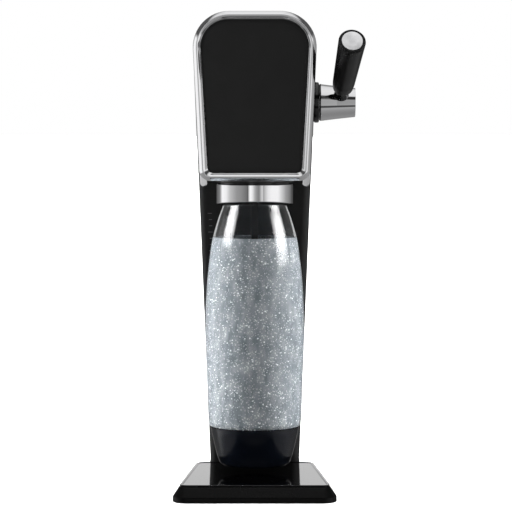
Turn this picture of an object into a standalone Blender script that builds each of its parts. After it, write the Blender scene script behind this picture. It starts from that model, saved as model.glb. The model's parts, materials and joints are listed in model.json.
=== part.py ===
"""Counter-top soda carbonator with a side lever, a bottle on a tilting holder,
a gas cylinder behind the tower, a drip tray and a tilting rear cover.

Sizes are in millimetres. The machine's frame has x to the right and z up,
with the bottle's axis at x = y = 0, the front at -y and the counter at z = 0.
"""

import math

import bmesh
import bpy
from mathutils import Matrix, Vector

MM = 0.001
GAP = 0.3
ROUND_STEPS = 24
SMALL_STEPS = 12
ARC_STEPS = 4

# Base: (half width, y, corner radius) of its outline, the wide front with sloping
# sides and the narrow tail that the tower stands on.
BASE_FRONT = (72.7, -88.0, 13.0)
BASE_STEP = (60.3, 66.0, 12.0)
BASE_TAIL = (42.0, 150.0, 20.0)
BASE_RIM_Z = 0.3
BASE_BEND_Z = 5.2
BASE_TOP_Z = 13.9
BASE_TOP_INSET = 6.3
BASE_WALL = 2.4
PLATE_Z = (2.7, 4.7)
FOOT_RADIUS = 9.0
FOOT_PLACES = {
    "front_left": (-52, -65),
    "front_right": (52, -65),
    "rear_left": (-27, 125),
    "rear_right": (27, 125),
}
SCREW_PLACES = ((-40, -60), (40, -60), (-31, 95), (31, 95))
SCREW_HOLE = 1.8
TRAY_FRONT = (66.0, -81.4, 6.5)
TRAY_REAR = (53.9, 56.2, 6.0)

# Tower and head.
TOWER_FRONT = 57.0
TOWER_REAR = 112.0
TOWER_TOP_Z = 283.2
TOWER_WALL = 2.5
TOWER_CORNER = 8.0
HEAD_BOTTOM_Z = 283.5
HEAD_TOP_Z = 428.0
HEAD_FRONT = -29.7
HEAD_CORNER = 31.6
HEAD_WALL = 2.5
SURROUND_Y = (-45.7, -30.0)
SURROUND_BOTTOM_Z = 274.5
SURROUND_WIDTH = 6.6
BEZEL_Y = (-58.0, -46.0)
BEZEL_BOTTOM_Z = 279.5
BEZEL_BOTTOM_CORNER = 10.5
BEZEL_WIDTH = 7.3
PANEL_Y = (-55.6, -52.5)
FLOOR_Z = (281.0, 283.0)

# Frame inside the head.
FRAME_X = (42.6, 45.1)
CROSS_HALF = 42.3
LEVER_AXIS = (15.0, 349.0)
HOLDER_AXIS = (8.0, 300.0)
SHAFT_RADIUS = 6.0
SHAFT_BORE = SHAFT_RADIUS + GAP
PIN_RADIUS = 3.0
PLUNGER_RADIUS = 4.0

# Lever: the grip's end and the point on the hub's axis that its rod aims at.
HUB_POINT = Vector((76.8, LEVER_AXIS[0], LEVER_AXIS[1]))
GRIP_END = Vector((84.0, -83.0, 401.0))
HUB_X = (58.3, 90.7)
CAM_RADIUS = 9.0
CAM_LIFT_PER_RADIAN = 4.167
CAM_LIFT_DEGREES = 65
CAM_DROP_DEGREES = 150

# Gas cylinder.
CYLINDER_Y = 96.0
CYLINDER_RADIUS = 30.0
CYLINDER_WALL = 3.0
CYLINDER_Z = (17.3, 262.0, 300.0)
HANDLE_Z = 318.0
HANDLE_REST_DEGREES = -50

# Bottle: (radius, height) down the outside, above its black cup.
BOTTLE_SIDE = (
    (19.0, 273.0),
    (24.0, 268.5),
    (27.5, 262.0),
    (29.7, 254.5),
    (33.6, 243.4),
    (38.4, 224.9),
    (42.1, 196.9),
    (44.0, 170.8),
    (44.6, 134.6),
    (43.2, 98.2),
    (42.2, 66.4),
    (41.0, 57.7),
)
BOTTLE_TOP_Z = 286.0
BOTTLE_WALL = 1.4
NECK_RADIUS = 17.0
TUBE_BOTTOM_Z = 188.0
RING_RADIUS = 34.5
RING_TOP_Z = 275.8
RING_BOTTOM_Z = 257.4
RING_SLOPE = 0.085

# Rear cover.
COVER_BOTTOM_Z = 18.0
COVER_TOP_Z = 427.0
COVER_WALL = 2.2
COVER_LOOPS = ((112.5, 0.0), (131.0, 0.0), (137.0, 1.5), (142.0, 5.0), (145.0, 11.0))
COVER_HINGE = (143.0, 20.0)
BUTTON_Z = 388.0

MATERIALS = {
    "black_gloss": ((0.012, 0.012, 0.014), 0.12, 0.0),
    "black_satin": ((0.018, 0.018, 0.020), 0.35, 0.0),
    "chrome": ((0.80, 0.80, 0.81), 0.06, 1.0),
    "steel": ((0.55, 0.55, 0.56), 0.3, 1.0),
    "brass": ((0.72, 0.52, 0.22), 0.28, 1.0),
    "rubber": ((0.02, 0.02, 0.02), 0.85, 0.0),
    "clear": ((0.92, 0.95, 0.96), 0.03, 0.0),
    "aluminium": ((0.66, 0.67, 0.69), 0.35, 1.0),
    "grey_plastic": ((0.18, 0.18, 0.19), 0.5, 0.0),
    "pink_plastic": ((0.75, 0.16, 0.34), 0.4, 0.0),
    "white_tube": ((0.75, 0.76, 0.77), 0.4, 0.0),
}

X_AXIS = Vector((1, 0, 0))
Y_AXIS = Vector((0, 1, 0))
Z_AXIS = Vector((0, 0, 1))


# ---------------------------------------------------------------- helpers


def clear_scene():
    for obj in list(bpy.data.objects):
        bpy.data.objects.remove(obj, do_unlink=True)


def new_collection(name):
    collection = bpy.data.collections.new(name)
    bpy.context.scene.collection.children.link(collection)
    return collection


def material(name):
    found = bpy.data.materials.get(name)
    if found:
        return found
    colour, roughness, metallic = MATERIALS[name]
    made = bpy.data.materials.new(name)
    made.use_nodes = True
    shader = made.node_tree.nodes["Principled BSDF"]
    shader.inputs["Base Color"].default_value = (*colour, 1.0)
    shader.inputs["Roughness"].default_value = roughness
    shader.inputs["Metallic"].default_value = metallic
    if name == "clear":
        shader.inputs["Transmission Weight"].default_value = 1.0
    return made


def attach(obj, parent):
    """Parents obj so that its own location stays in the machine's frame."""
    obj.parent = parent
    obj.matrix_parent_inverse = Matrix.Translation(-parent.location)


def pivot(name, point, parent):
    """An empty on a joint's axis."""
    empty = bpy.data.objects.new(name, None)
    empty.empty_display_size = 10 * MM
    empty.location = Vector(point) * MM
    PARTS.objects.link(empty)
    if parent:
        attach(empty, parent)
    return empty


def add(name, data, parent, look, at=(0, 0, 0), along=Z_AXIS):
    """Links data as an object at a point, its local z turned along a direction."""
    obj = bpy.data.objects.new(name, data)
    obj.location = Vector(at) * MM
    obj.rotation_euler = Z_AXIS.rotation_difference(Vector(along)).to_euler()
    if look:
        data.materials.append(material(look))
        PARTS.objects.link(obj)
    else:
        CUTTERS.objects.link(obj)
        obj.hide_render = True
        obj.display_type = "WIRE"
    attach(obj, parent)
    return obj


def to_mesh(name, bm, closed=True):
    if closed:
        bmesh.ops.recalc_face_normals(bm, faces=bm.faces)
    mesh = bpy.data.meshes.new(name)
    bm.to_mesh(mesh)
    bm.free()
    mesh.shade_smooth()
    mesh.set_sharp_from_angle(angle=math.radians(35))
    return mesh


def rounded_path(corners, closed=True):
    """Points through the corners (u, v, radius), each rounded with an arc."""
    points = []
    count = len(corners)
    for i, (u, v, radius) in enumerate(corners):
        here = Vector((u, v))
        if radius == 0 or (not closed and i in (0, count - 1)):
            points.append(here)
            continue
        to_before = (Vector(corners[i - 1][:2]) - here).normalized()
        to_after = (Vector(corners[(i + 1) % count][:2]) - here).normalized()
        half = to_before.angle(to_after) / 2
        reach = radius / math.tan(half)
        centre = here + (to_before + to_after).normalized() * (radius / math.sin(half))
        first = here + to_before * reach - centre
        last = here + to_after * reach - centre
        sweep = math.atan2(first.cross(last), first.dot(last))
        for k in range(ARC_STEPS + 1):
            points.append(centre + Matrix.Rotation(sweep * k / ARC_STEPS, 2) @ first)
    return points


def circle(radius, centre=(0, 0), steps=ROUND_STEPS):
    angles = [2 * math.pi * k / steps for k in range(steps)]
    return [(centre[0] + radius * math.cos(a), centre[1] + radius * math.sin(a)) for a in angles]


def loft(name, sections, closed=True, caps=False, ring=False):
    """Skins sections of equally many 3D points: an open surface, or a solid with caps or as a ring."""
    bm = bmesh.new()
    rows = [[bm.verts.new(Vector(point) * MM) for point in section] for section in sections]
    pairs = list(zip(rows, rows[1:]))
    if ring:
        pairs.append((rows[-1], rows[0]))
    count = len(rows[0])
    for lower, upper in pairs:
        for i in range(count if closed else count - 1):
            j = (i + 1) % count
            bm.faces.new((lower[i], lower[j], upper[j], upper[i]))
    if caps:
        bm.faces.new(list(reversed(rows[0])))
        bm.faces.new(rows[-1])
    return to_mesh(name, bm, closed=caps or ring)


def in_plane(axis, point, depth):
    """A 2D point set at a depth along x, y or z."""
    u, v = point
    return {"x": (depth, u, v), "y": (u, depth, v), "z": (u, v, depth)}[axis]


def slab(name, outline, axis, start, end):
    """A flat outline made into a plate from start to end along an axis."""
    bm = bmesh.new()
    face = bm.faces.new([bm.verts.new(Vector(in_plane(axis, p, start)) * MM) for p in outline])
    grown = bmesh.ops.extrude_face_region(bm, geom=[face])
    moved = [item for item in grown["geom"] if isinstance(item, bmesh.types.BMVert)]
    bmesh.ops.translate(bm, verts=moved, vec=Vector(in_plane(axis, (0, 0), end - start)) * MM)
    return to_mesh(name, bm)


def block(name, low, high):
    bm = bmesh.new()
    low = Vector(low)
    high = Vector(high)
    size = Matrix.Diagonal((*((high - low) * MM), 1.0))
    bmesh.ops.create_cube(bm, size=1.0, matrix=Matrix.Translation((low + high) / 2 * MM) @ size)
    return to_mesh(name, bm)


def rod(name, radius, start, end, steps=ROUND_STEPS):
    """A cylinder along local z."""
    bm = bmesh.new()
    middle = Matrix.Translation((0, 0, (start + end) / 2 * MM))
    bmesh.ops.create_cone(
        bm,
        cap_ends=True,
        segments=steps,
        radius1=radius * MM,
        radius2=radius * MM,
        depth=(end - start) * MM,
        matrix=middle,
    )
    return to_mesh(name, bm)


def profile_mesh(name, profile, closed):
    bm = bmesh.new()
    verts = [bm.verts.new((radius * MM, 0, height * MM)) for radius, height in profile]
    for a, b in zip(verts, verts[1:]):
        bm.edges.new((a, b))
    if closed:
        bm.edges.new((verts[-1], verts[0]))
    mesh = bpy.data.meshes.new(name)
    bm.to_mesh(mesh)
    bm.free()
    return mesh


def turned(name, profile, parent, look, at=(0, 0, 0), along=Z_AXIS, steps=ROUND_STEPS):
    """Spins (radius, height) points, listed down the outer side, about local z."""
    on_axis = profile[0][0] == 0 and profile[-1][0] == 0
    obj = add(name, profile_mesh(name, profile, not on_axis), parent, look, at, along)
    screw = obj.modifiers.new("Screw", "SCREW")
    screw.steps = steps
    screw.render_steps = steps
    screw.use_merge_vertices = True
    screw.merge_threshold = 0.00001
    screw.use_smooth_shade = True
    return obj


def thicken(obj, wall):
    """Gives an outer surface its wall, inward."""
    solid = obj.modifiers.new("Wall", "SOLIDIFY")
    solid.thickness = wall * MM
    solid.offset = -1
    solid.use_even_offset = True


def bevel(obj, width, segments=2):
    edge = obj.modifiers.new("Edge", "BEVEL")
    edge.width = width * MM
    edge.segments = segments
    edge.limit_method = "ANGLE"
    edge.angle_limit = math.radians(40)


def combine(obj, other, operation):
    boolean = obj.modifiers.new(operation.title(), "BOOLEAN")
    boolean.operation = operation
    boolean.object = other


def drill(obj, radius, at, along, length, steps=16):
    """Cuts a round hole that starts at a point and runs along a direction."""
    mesh = rod(obj.name + "_hole", radius, 0, length, steps)
    combine(obj, add(obj.name + "_hole", mesh, obj.parent, None, at, along), "DIFFERENCE")


def wire(name, points, radius, parent, look):
    """A round wire or hose through points."""
    curve = bpy.data.curves.new(name, "CURVE")
    curve.dimensions = "3D"
    curve.bevel_depth = radius * MM
    curve.bevel_resolution = 2
    curve.use_fill_caps = True
    curve.resolution_u = 1
    curve.render_resolution_u = 0
    spline = curve.splines.new("POLY")
    spline.points.add(len(points) - 1)
    for spot, point in zip(spline.points, points):
        spot.co = (*(Vector(point) * MM), 1.0)
    return add(name, curve, parent, look)


def coil(name, radius, wire_radius, axis, centre, start, end, turns, parent):
    """A helical spring along x or y."""
    per_turn = 8
    points = []
    for k in range(turns * per_turn + 1):
        angle = 2 * math.pi * k / per_turn
        depth = start + (end - start) * k / (turns * per_turn)
        spot = (centre[0] + radius * math.cos(angle), centre[1] + radius * math.sin(angle))
        points.append(in_plane(axis, spot, depth))
    return wire(name, points, wire_radius, parent, "steel")


def smooth_route(route, steps):
    """Points on a Catmull-Rom curve through a hose's route."""
    knots = [Vector(point) for point in route]
    knots = [knots[0] * 2 - knots[1]] + knots + [knots[-1] * 2 - knots[-2]]
    points = []
    for a, b, c, d in zip(knots, knots[1:], knots[2:], knots[3:]):
        for k in range(steps):
            t = k / steps
            bend = (c - a) * t + (a * 2 - b * 5 + c * 4 - d) * t**2 + (b * 3 - a - c * 3 + d) * t**3
            points.append(b + bend / 2)
    points.append(knots[-2])
    return points


def inner_side(profile, wall):
    """The profile of a turned wall's inner face, listed upward."""
    inner = []
    for i, point in enumerate(profile):
        before = Vector(profile[max(i - 1, 0)])
        after = Vector(profile[min(i + 1, len(profile) - 1)])
        along = (after - before).normalized()
        inner.append((point[0] + along.y * wall, point[1] - along.x * wall))
    return list(reversed(inner))


# ---------------------------------------------------------------- outlines


def base_outline(slope, z, shrink=0.0):
    """The base's outline, its wide part drawn in by slope and all of it by shrink."""
    inset = slope + shrink
    (half, front, radius), (step_half, step, step_radius) = BASE_FRONT, BASE_STEP
    tail_half, rear, tail_radius = BASE_TAIL
    right = [
        (half - inset, front + inset, radius - inset),
        (step_half - inset, step - inset, step_radius - inset),
        (tail_half - shrink, step - inset, 2.0),
        (tail_half - shrink, rear - shrink, tail_radius - shrink),
    ]
    left = [(-u, v, corner) for u, v, corner in reversed(right)]
    return [(u, v, z) for u, v in rounded_path(right + left)]


def front_half(z):
    """Half width of the head's front outline."""
    return 49.4 + (z - 298.0) * 0.0483


def tower_half(z):
    """Half width of the tower, and of the head's rear outline."""
    return 41.5 + (z - 16.0) * 0.0405


def arch(half, bottom, top, corner, inset=0.0):
    """An inverted U outline of (x, z) points, up its left side and down its right."""
    corners = [
        (-half(bottom) + inset, bottom, 0),
        (-half(top) + inset, top - inset, corner - inset),
        (half(top) - inset, top - inset, corner - inset),
        (half(bottom) - inset, bottom, 0),
    ]
    return rounded_path(corners, closed=False)


def bezel_outline(inset, y):
    bottom = BEZEL_BOTTOM_Z
    top = HEAD_TOP_Z
    low_corner = max(BEZEL_BOTTOM_CORNER - inset, 3.0)
    corners = [
        (-front_half(bottom) + inset, bottom + inset, low_corner),
        (-front_half(top) + inset, top - inset, HEAD_CORNER - inset),
        (front_half(top) - inset, top - inset, HEAD_CORNER - inset),
        (front_half(bottom) - inset, bottom + inset, low_corner),
    ]
    return [(u, y, v) for u, v in rounded_path(corners)]


# ---------------------------------------------------------------- machine


def make_base(machine):
    levels = ((0, BASE_RIM_Z), (0, BASE_BEND_Z), (BASE_TOP_INSET, BASE_TOP_Z))
    sections = [base_outline(inset, z) for inset, z in levels]
    bm = bmesh.new()
    bm.from_mesh(loft("base_skin", sections))
    bm.faces.new([v for v in sorted(bm.verts, key=lambda v: v.index)[-len(sections[-1]):]])
    housing = add("base_housing", to_mesh("base_housing", bm, closed=False), machine, "black_gloss")
    thicken(housing, BASE_WALL)
    for x, y in SCREW_PLACES:
        boss = add("boss", rod("boss", 4.5, PLATE_Z[1] + GAP, 12.5, SMALL_STEPS), machine, None, (x, y, 0))
        combine(housing, boss, "UNION")
        drill(housing, SCREW_HOLE, (x, y, 4.0), Z_AXIS, 7.0, SMALL_STEPS)

    plate_outline = [(u, v) for u, v, _ in base_outline(0, 0, BASE_WALL + 0.8)]
    plate = add("base_plate", slab("base_plate", plate_outline, "z", *PLATE_Z), machine, "grey_plastic")
    for i, (x, y) in enumerate(SCREW_PLACES):
        drill(plate, SCREW_HOLE, (x, y, 1.0), Z_AXIS, 6.0, SMALL_STEPS)
        profile = ((0, 10.6), (1.5, 10.6), (1.5, 2.4), (3.0, 2.4), (2.8, 1.2), (0, 1.2))
        turned(f"base_screw_{i + 1}", profile, machine, "steel", (x, y, 0), steps=SMALL_STEPS)
    for place, (x, y) in FOOT_PLACES.items():
        profile = ((0, 2.4), (FOOT_RADIUS, 2.4), (FOOT_RADIUS - 0.6, 0), (0, 0))
        turned("foot_" + place, profile, machine, "rubber", (x, y, 0), steps=16)


def make_tower(machine):
    sections = []
    for z in (BASE_TOP_Z + GAP, TOWER_TOP_Z):
        half = tower_half(z)
        corners = [
            (-half, TOWER_REAR, 0),
            (-half, TOWER_FRONT, TOWER_CORNER),
            (half, TOWER_FRONT, TOWER_CORNER),
            (half, TOWER_REAR, 0),
        ]
        sections.append([(u, v, z) for u, v in rounded_path(corners, closed=False)])
    tower = add("tower_shell", loft("tower_shell", sections, closed=False), machine, "black_satin")
    thicken(tower, TOWER_WALL)


def make_head(machine):
    front = arch(front_half, HEAD_BOTTOM_Z, HEAD_TOP_Z, HEAD_CORNER)
    rear = arch(tower_half, HEAD_BOTTOM_Z, HEAD_TOP_Z, HEAD_CORNER)
    levels = ((front, HEAD_FRONT), (rear, TOWER_FRONT), (rear, TOWER_REAR))
    sections = [[(u, y, v) for u, v in outline] for outline, y in levels]
    shell = add("head_shell", loft("head_shell", sections, closed=False), machine, "black_satin")
    thicken(shell, HEAD_WALL)
    drill(shell, 18.8, (30, *LEVER_AXIS), X_AXIS, 40, ROUND_STEPS)

    outer = arch(front_half, SURROUND_BOTTOM_Z + 3, HEAD_TOP_Z, HEAD_CORNER)
    inner = arch(front_half, SURROUND_BOTTOM_Z + 3, HEAD_TOP_Z, HEAD_CORNER, SURROUND_WIDTH)
    right_end = rounded_end(outer[-1], inner[-1])
    left_end = rounded_end(inner[0], outer[0])
    outline = list(outer) + right_end + list(reversed(inner)) + left_end
    add("head_surround", slab("head_surround", outline, "y", *SURROUND_Y), machine, "chrome")

    front_y, rear_y = BEZEL_Y
    path = (
        (0, rear_y),
        (0, front_y + 4.6),
        (2.9, front_y + 0.4),
        (3.6, front_y),
        (4.2, front_y + 0.2),
        (BEZEL_WIDTH, front_y + 3.1),
        (BEZEL_WIDTH, rear_y),
    )
    sections = [bezel_outline(inset, y) for inset, y in path]
    add("front_bezel", loft("front_bezel", sections, ring=True), machine, "chrome")

    inset = BEZEL_WIDTH + 0.4
    levels = ((inset, PANEL_Y[1]), (inset, PANEL_Y[0] + 0.6), (inset + 0.6, PANEL_Y[0]))
    sections = [bezel_outline(inset, y) for inset, y in levels]
    add("front_panel", loft("front_panel", sections, caps=True), machine, "black_satin")

    front_edge = HEAD_FRONT + GAP
    rear_edge = TOWER_FRONT - 0.4
    front_corner = front_half(FLOOR_Z[0]) - 0.3
    rear_corner = tower_half(FLOOR_Z[0]) - 0.3
    corners = [
        (-rear_corner, rear_edge, 0),
        (-front_corner, front_edge, 0),
        (-39, front_edge, 0),
        (-39, 45, 12),
        (39, 45, 12),
        (39, front_edge, 0),
        (front_corner, front_edge, 0),
        (rear_corner, rear_edge, 0),
    ]
    floor = slab("head_floor", rounded_path(corners), "z", *FLOOR_Z)
    add("head_floor", floor, machine, "black_satin")


def rounded_end(start, end):
    """Points of a half circle between two ends of a strip, bulging down."""
    start = Vector(start)
    end = Vector(end)
    middle = (start + end) / 2
    radius = (start - end).length / 2
    side = 1 if start.x > end.x else -1
    angles = [math.pi * k / 6 for k in range(1, 6)]
    return [middle + Vector((side * radius * math.cos(a), -radius * math.sin(a))) for a in angles]


def make_frame(machine):
    y0, z0 = LEVER_AXIS
    outline = rounded_path([(-24, 283.3, 6), (108, 283.3, 6), (108, 398, 14), (-24, 398, 14)])
    for side, name in ((-1, "left"), (1, "right")):
        inner, outer = (side * x for x in FRAME_X)
        plate = add("frame_plate_" + name, slab("frame_plate", outline, "x", inner, outer), machine, "steel")
        drill(plate, 9.4, (side * 30, y0, z0), X_AXIS * side, 30)
        drill(plate, PIN_RADIUS + GAP, (side * 30, *HOLDER_AXIS), X_AXIS * side, 30, SMALL_STEPS)

        profile = ((SHAFT_BORE, 5.9), (9, 5.9), (9, 2), (11, 2), (11, 0), (SHAFT_BORE, 0))
        at = (side * 40.3, y0, z0)
        turned("shaft_bearing_" + name, profile, machine, "brass", at, X_AXIS * side, 16)

        pin = rod("holder_pin", PIN_RADIUS, 26.5, 46.3, SMALL_STEPS)
        at = (0, *HOLDER_AXIS)
        add("holder_pin_" + name, pin, machine, "steel", at, X_AXIS * side)

    bar = block("cross_member", (-CROSS_HALF, 45, 330), (CROSS_HALF, 48, 368))
    cross = add("cross_member", bar, machine, "steel")
    drill(cross, PLUNGER_RADIUS + 0.6, (0, 40, z0), Y_AXIS, 12)
    low = (-CROSS_HALF, 72, 336)
    high = (CROSS_HALF, 75.5, 376)
    bracket = add("valve_bracket", block("valve_bracket", low, high), machine, "steel")
    drill(bracket, PLUNGER_RADIUS + 0.6, (0, 70, z0), Y_AXIS, 8)

    profile = ((8.3, 11.4), (17.6, 11.4), (18.4, 10.6), (18.4, 2), (21, 2), (21, 0), (8.3, 0))
    turned("lever_bushing", profile, machine, "black_gloss", (46.6, y0, z0), X_AXIS)

    coil("holder_spring", 4.6, 0.6, "x", HOLDER_AXIS, -41.4, -33.4, 3, machine)
    coil("lever_spring", 8.5, 1.0, "x", LEVER_AXIS, 14, 28, 4, machine)


def make_gas_system(machine):
    y0, z0 = LEVER_AXIS
    valve = add("valve_block", block("valve_block", (-20, 75.8, 338), (20, 107, 378)), machine, "brass")
    bevel(valve, 2)
    drill(valve, PLUNGER_RADIUS + 0.4, (0, 70, z0), Y_AXIS, 28)
    coil("valve_spring", 5.8, 0.7, "y", (0, z0), 60.6, 71.0, 4, machine)
    profile = ((0, 390), (3, 390), (3.4, 385), (6.5, 385), (6.5, 380), (4, 380), (4, 378.3), (0, 378.3))
    turned("relief_valve", profile, machine, "brass", (0, 92, 0), steps=SMALL_STEPS)
    route = (
        (-20.3, 96, 346), (-28, 96, 346), (-35, 94, 342), (-37, 88, 332), (-37, 78, 324), (-35, 64, 319),
        (-30, 48, 317), (-20, 28, 318), (-8, 10, 320), (-1, 1, 315), (0, 0, 306.3),
    )
    wire("gas_hose", smooth_route(route, 2), 3.0, machine, "rubber")

    bottom, shoulder, top = CYLINDER_Z
    outer = CYLINDER_RADIUS
    inner = outer - CYLINDER_WALL
    profile = (
        (5, top), (8.5, top), (8.5, 291), (22, 279), (outer, shoulder),
        (outer, bottom + 4), (outer - 3, bottom), (0, bottom),
        (0, bottom + 3), (inner, bottom + 5), (inner, shoulder - 1), (19.6, 276), (5, 288),
    )
    # The hollow is open at the neck, so the profile is a closed loop that touches the axis.
    centre = (0, CYLINDER_Y, 0)
    turned("co2_cylinder", start_on_axis(profile), machine, "aluminium", centre)
    profile = (
        (0, 337), (6, 337), (6, 324), (10, 323), (10, 300.3), (4.7, 300.3),
        (4.7, 291), (0, 291),
    )
    turned("cylinder_valve", profile, machine, "brass", centre, steps=16)

    profile = ((10.7, 330), (16, 330), (18, 328), (18, 304), (16, 302), (10.7, 302))
    adapter = turned("cylinder_adapter", profile, machine, "pink_plastic", centre)
    for side in (-1, 1):
        pin = rod("trunnion", 4, 14, 26, 16)
        trunnion = add("trunnion", pin, machine, None, (0, CYLINDER_Y, HANDLE_Z), X_AXIS * side)
        combine(adapter, trunnion, "UNION")

    arc = [math.radians(170 + 200 * k / 12) for k in range(13)]
    outer = [(33.4 * math.cos(a), CYLINDER_Y + 33.4 * math.sin(a)) for a in arc]
    inner = [(30.5 * math.cos(a), CYLINDER_Y + 30.5 * math.sin(a)) for a in reversed(arc)]
    clip = slab("cylinder_cradle", outer + inner, "z", 112, 128)
    cradle = add("cylinder_cradle", clip, machine, "black_satin")
    web = block("cradle_web", (-14, TOWER_FRONT + TOWER_WALL + GAP, 114), (14, 65, 126))
    combine(cradle, add("cradle_web", web, machine, None), "UNION")
    profile = ((30.5, 26), (32.6, 26), (32.6, 14.2), (0, 14.2), (0, 17), (30.5, 17))
    turned("cylinder_seat", start_on_axis(profile), machine, "black_satin", centre)


def start_on_axis(profile):
    """Rotates a loop's points so that it starts and ends on the axis, going up inside first."""
    first = next(i for i, (radius, _) in enumerate(profile) if radius == 0)
    return profile[first + 1:] + profile[: first + 1]


# ---------------------------------------------------------------- moving bodies


def make_lever(axis):
    y0, z0 = LEVER_AXIS
    on_axis = (0, y0, z0)
    groove = SHAFT_RADIUS - 1.0
    profile = (
        (0, 79), (SHAFT_RADIUS, 79), (SHAFT_RADIUS, -46.6), (groove, -46.6), (groove, -48.2),
        (SHAFT_RADIUS, -48.2), (SHAFT_RADIUS, -49.7), (0, -49.7),
    )
    turned("lever_shaft", profile, axis, "steel", on_axis, X_AXIS, 16)
    profile = ((5.3, 1), (8.2, 1), (8.2, 0), (5.3, 0))
    turned("shaft_circlip", profile, axis, "steel", (-47.9, y0, z0), X_AXIS, 16)

    length = HUB_X[1] - HUB_X[0]
    profile = (
        (0, length - 1.3), (10.5, length - 1.3), (10.5, length), (11.8, length), (13.2, length - 2.2),
        (17, 1), (16.4, 0), (SHAFT_BORE, 0), (SHAFT_BORE, 21.7), (0, 21.7),
    )
    hub = turned("lever_hub", profile, axis, "chrome", (HUB_X[0], y0, z0), X_AXIS)
    aim = (GRIP_END - HUB_POINT).normalized()
    drill(hub, 4.3, HUB_POINT, aim, 25)
    profile = ((0, 1.4), (10.2, 0.6), (10.2, 0), (0, 0))
    turned("hub_cap", profile, axis, "chrome", (HUB_X[1] - 1.0, y0, z0), X_AXIS)

    reach = (GRIP_END - HUB_POINT).length
    add("lever_rod", rod("lever_rod", 4, 7.5, 104, 16), axis, "steel", HUB_POINT, aim)
    ferrule = ((4.3, 24.9), (5.4, 24.9), (5.6, 20.0), (6.6, 16.2), (4.3, 16.2))
    turned("grip_ferrule", ferrule, axis, "black_gloss", HUB_POINT, aim, 16)
    grip = (
        (0, reach - 1.2), (9.7, reach - 1.2), (9.7, reach), (10.6, reach), (11.5, reach - 0.8),
        (11.9, reach - 2.7), (9.8, 33), (8.8, 28.4), (5.8, 25.2), (4.3, 25.2),
        (4.3, reach - 6), (0, reach - 6),
    )
    turned("lever_grip", grip, axis, "black_satin", HUB_POINT, aim)
    cap = (
        (0, reach + 0.9), (5, reach + 0.6), (9.4, reach - 0.4), (9.4, reach - 0.8), (0, reach - 0.8),
    )
    turned("grip_end_cap", cap, axis, "chrome", HUB_POINT, aim)

    outline = []
    for degrees in range(0, 360, 10):
        radius = cam_radius(degrees)
        angle = -math.radians(degrees)
        outline.append((y0 + radius * math.cos(angle), z0 + radius * math.sin(angle)))
    cam = add("lever_cam", slab("lever_cam", outline, "x", -5, 5), axis, "steel")
    drill(cam, SHAFT_BORE, (-8, y0, z0), X_AXIS, 16)


def cam_radius(degrees):
    """The cam's radius at an angle that comes round to the plunger as the lever is pulled."""
    if degrees <= CAM_LIFT_DEGREES:
        return CAM_RADIUS + CAM_LIFT_PER_RADIAN * math.radians(degrees)
    top = CAM_LIFT_PER_RADIAN * math.radians(CAM_LIFT_DEGREES)
    fade = min((degrees - CAM_LIFT_DEGREES) / (CAM_DROP_DEGREES - CAM_LIFT_DEGREES), 1)
    return CAM_RADIUS + top * (1 + math.cos(math.pi * fade)) / 2


def make_plunger(axis):
    profile = (
        (0, 67.4), (4, 67.4), (4, 34.9), (7.5, 34.9), (7.5, 32.4), (4, 32.4), (4, 4), (2.8, 1.2), (0, 0),
    )
    turned("valve_plunger", profile, axis, "steel", (0, 24.6, LEVER_AXIS[1]), Y_AXIS, 16)


def make_holder(axis):
    def ring_loop(radius, z=None):
        points = circle(radius, steps=32)
        return [(x, y, RING_BOTTOM_Z - RING_SLOPE * y if z is None else z) for x, y in points]

    inner = RING_RADIUS - 3.0
    sections = [
        ring_loop(inner), ring_loop(RING_RADIUS), ring_loop(RING_RADIUS, RING_TOP_Z - 1),
        ring_loop(RING_RADIUS - 1, RING_TOP_Z), ring_loop(inner, RING_TOP_Z),
    ]
    add("holder_ring", loft("holder_ring", sections, ring=True), axis, "chrome")
    profile = (
        (20.2, 279.8), (34.2, 279.8), (34.2, 277.3), (31, 277.3), (31, 264), (28.9, 262.5), (28, 265),
        (25.5, 269.5), (21.5, 273.5), (20.2, 276),
    )
    turned("holder_collar", profile, axis, "black_satin")
    outline = rounded_path([(0, 280.1, 0), (16, 280.1, 0), (16, 308, 7.9), (0, 308, 7.9)])
    for side, name in ((-1, "left"), (1, "right")):
        plate = slab("holder_arm", outline, "x", side * 28, side * 32)
        arm = add("holder_arm_" + name, plate, axis, "grey_plastic")
        drill(arm, PIN_RADIUS + GAP, (side * 26, *HOLDER_AXIS), X_AXIS * side, 8, SMALL_STEPS)
    profile = (
        (0, 306), (4.5, 306), (4.5, 298), (19.6, 298), (19.6, 295), (27.6, 295), (27.6, 291), (19.6, 291),
        (19.6, 289), (0, 289),
    )
    turned("nozzle_block", profile, axis, "grey_plastic")
    profile = ((10, 288.7), (17.5, 288.7), (17.5, 286.3), (10, 286.3))
    turned("nozzle_seal", profile, axis, "rubber", steps=16)
    straw = rod("carbonation_tube", 3, TUBE_BOTTOM_Z, 288.7, SMALL_STEPS)
    add("carbonation_tube", straw, axis, "grey_plastic")


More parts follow.
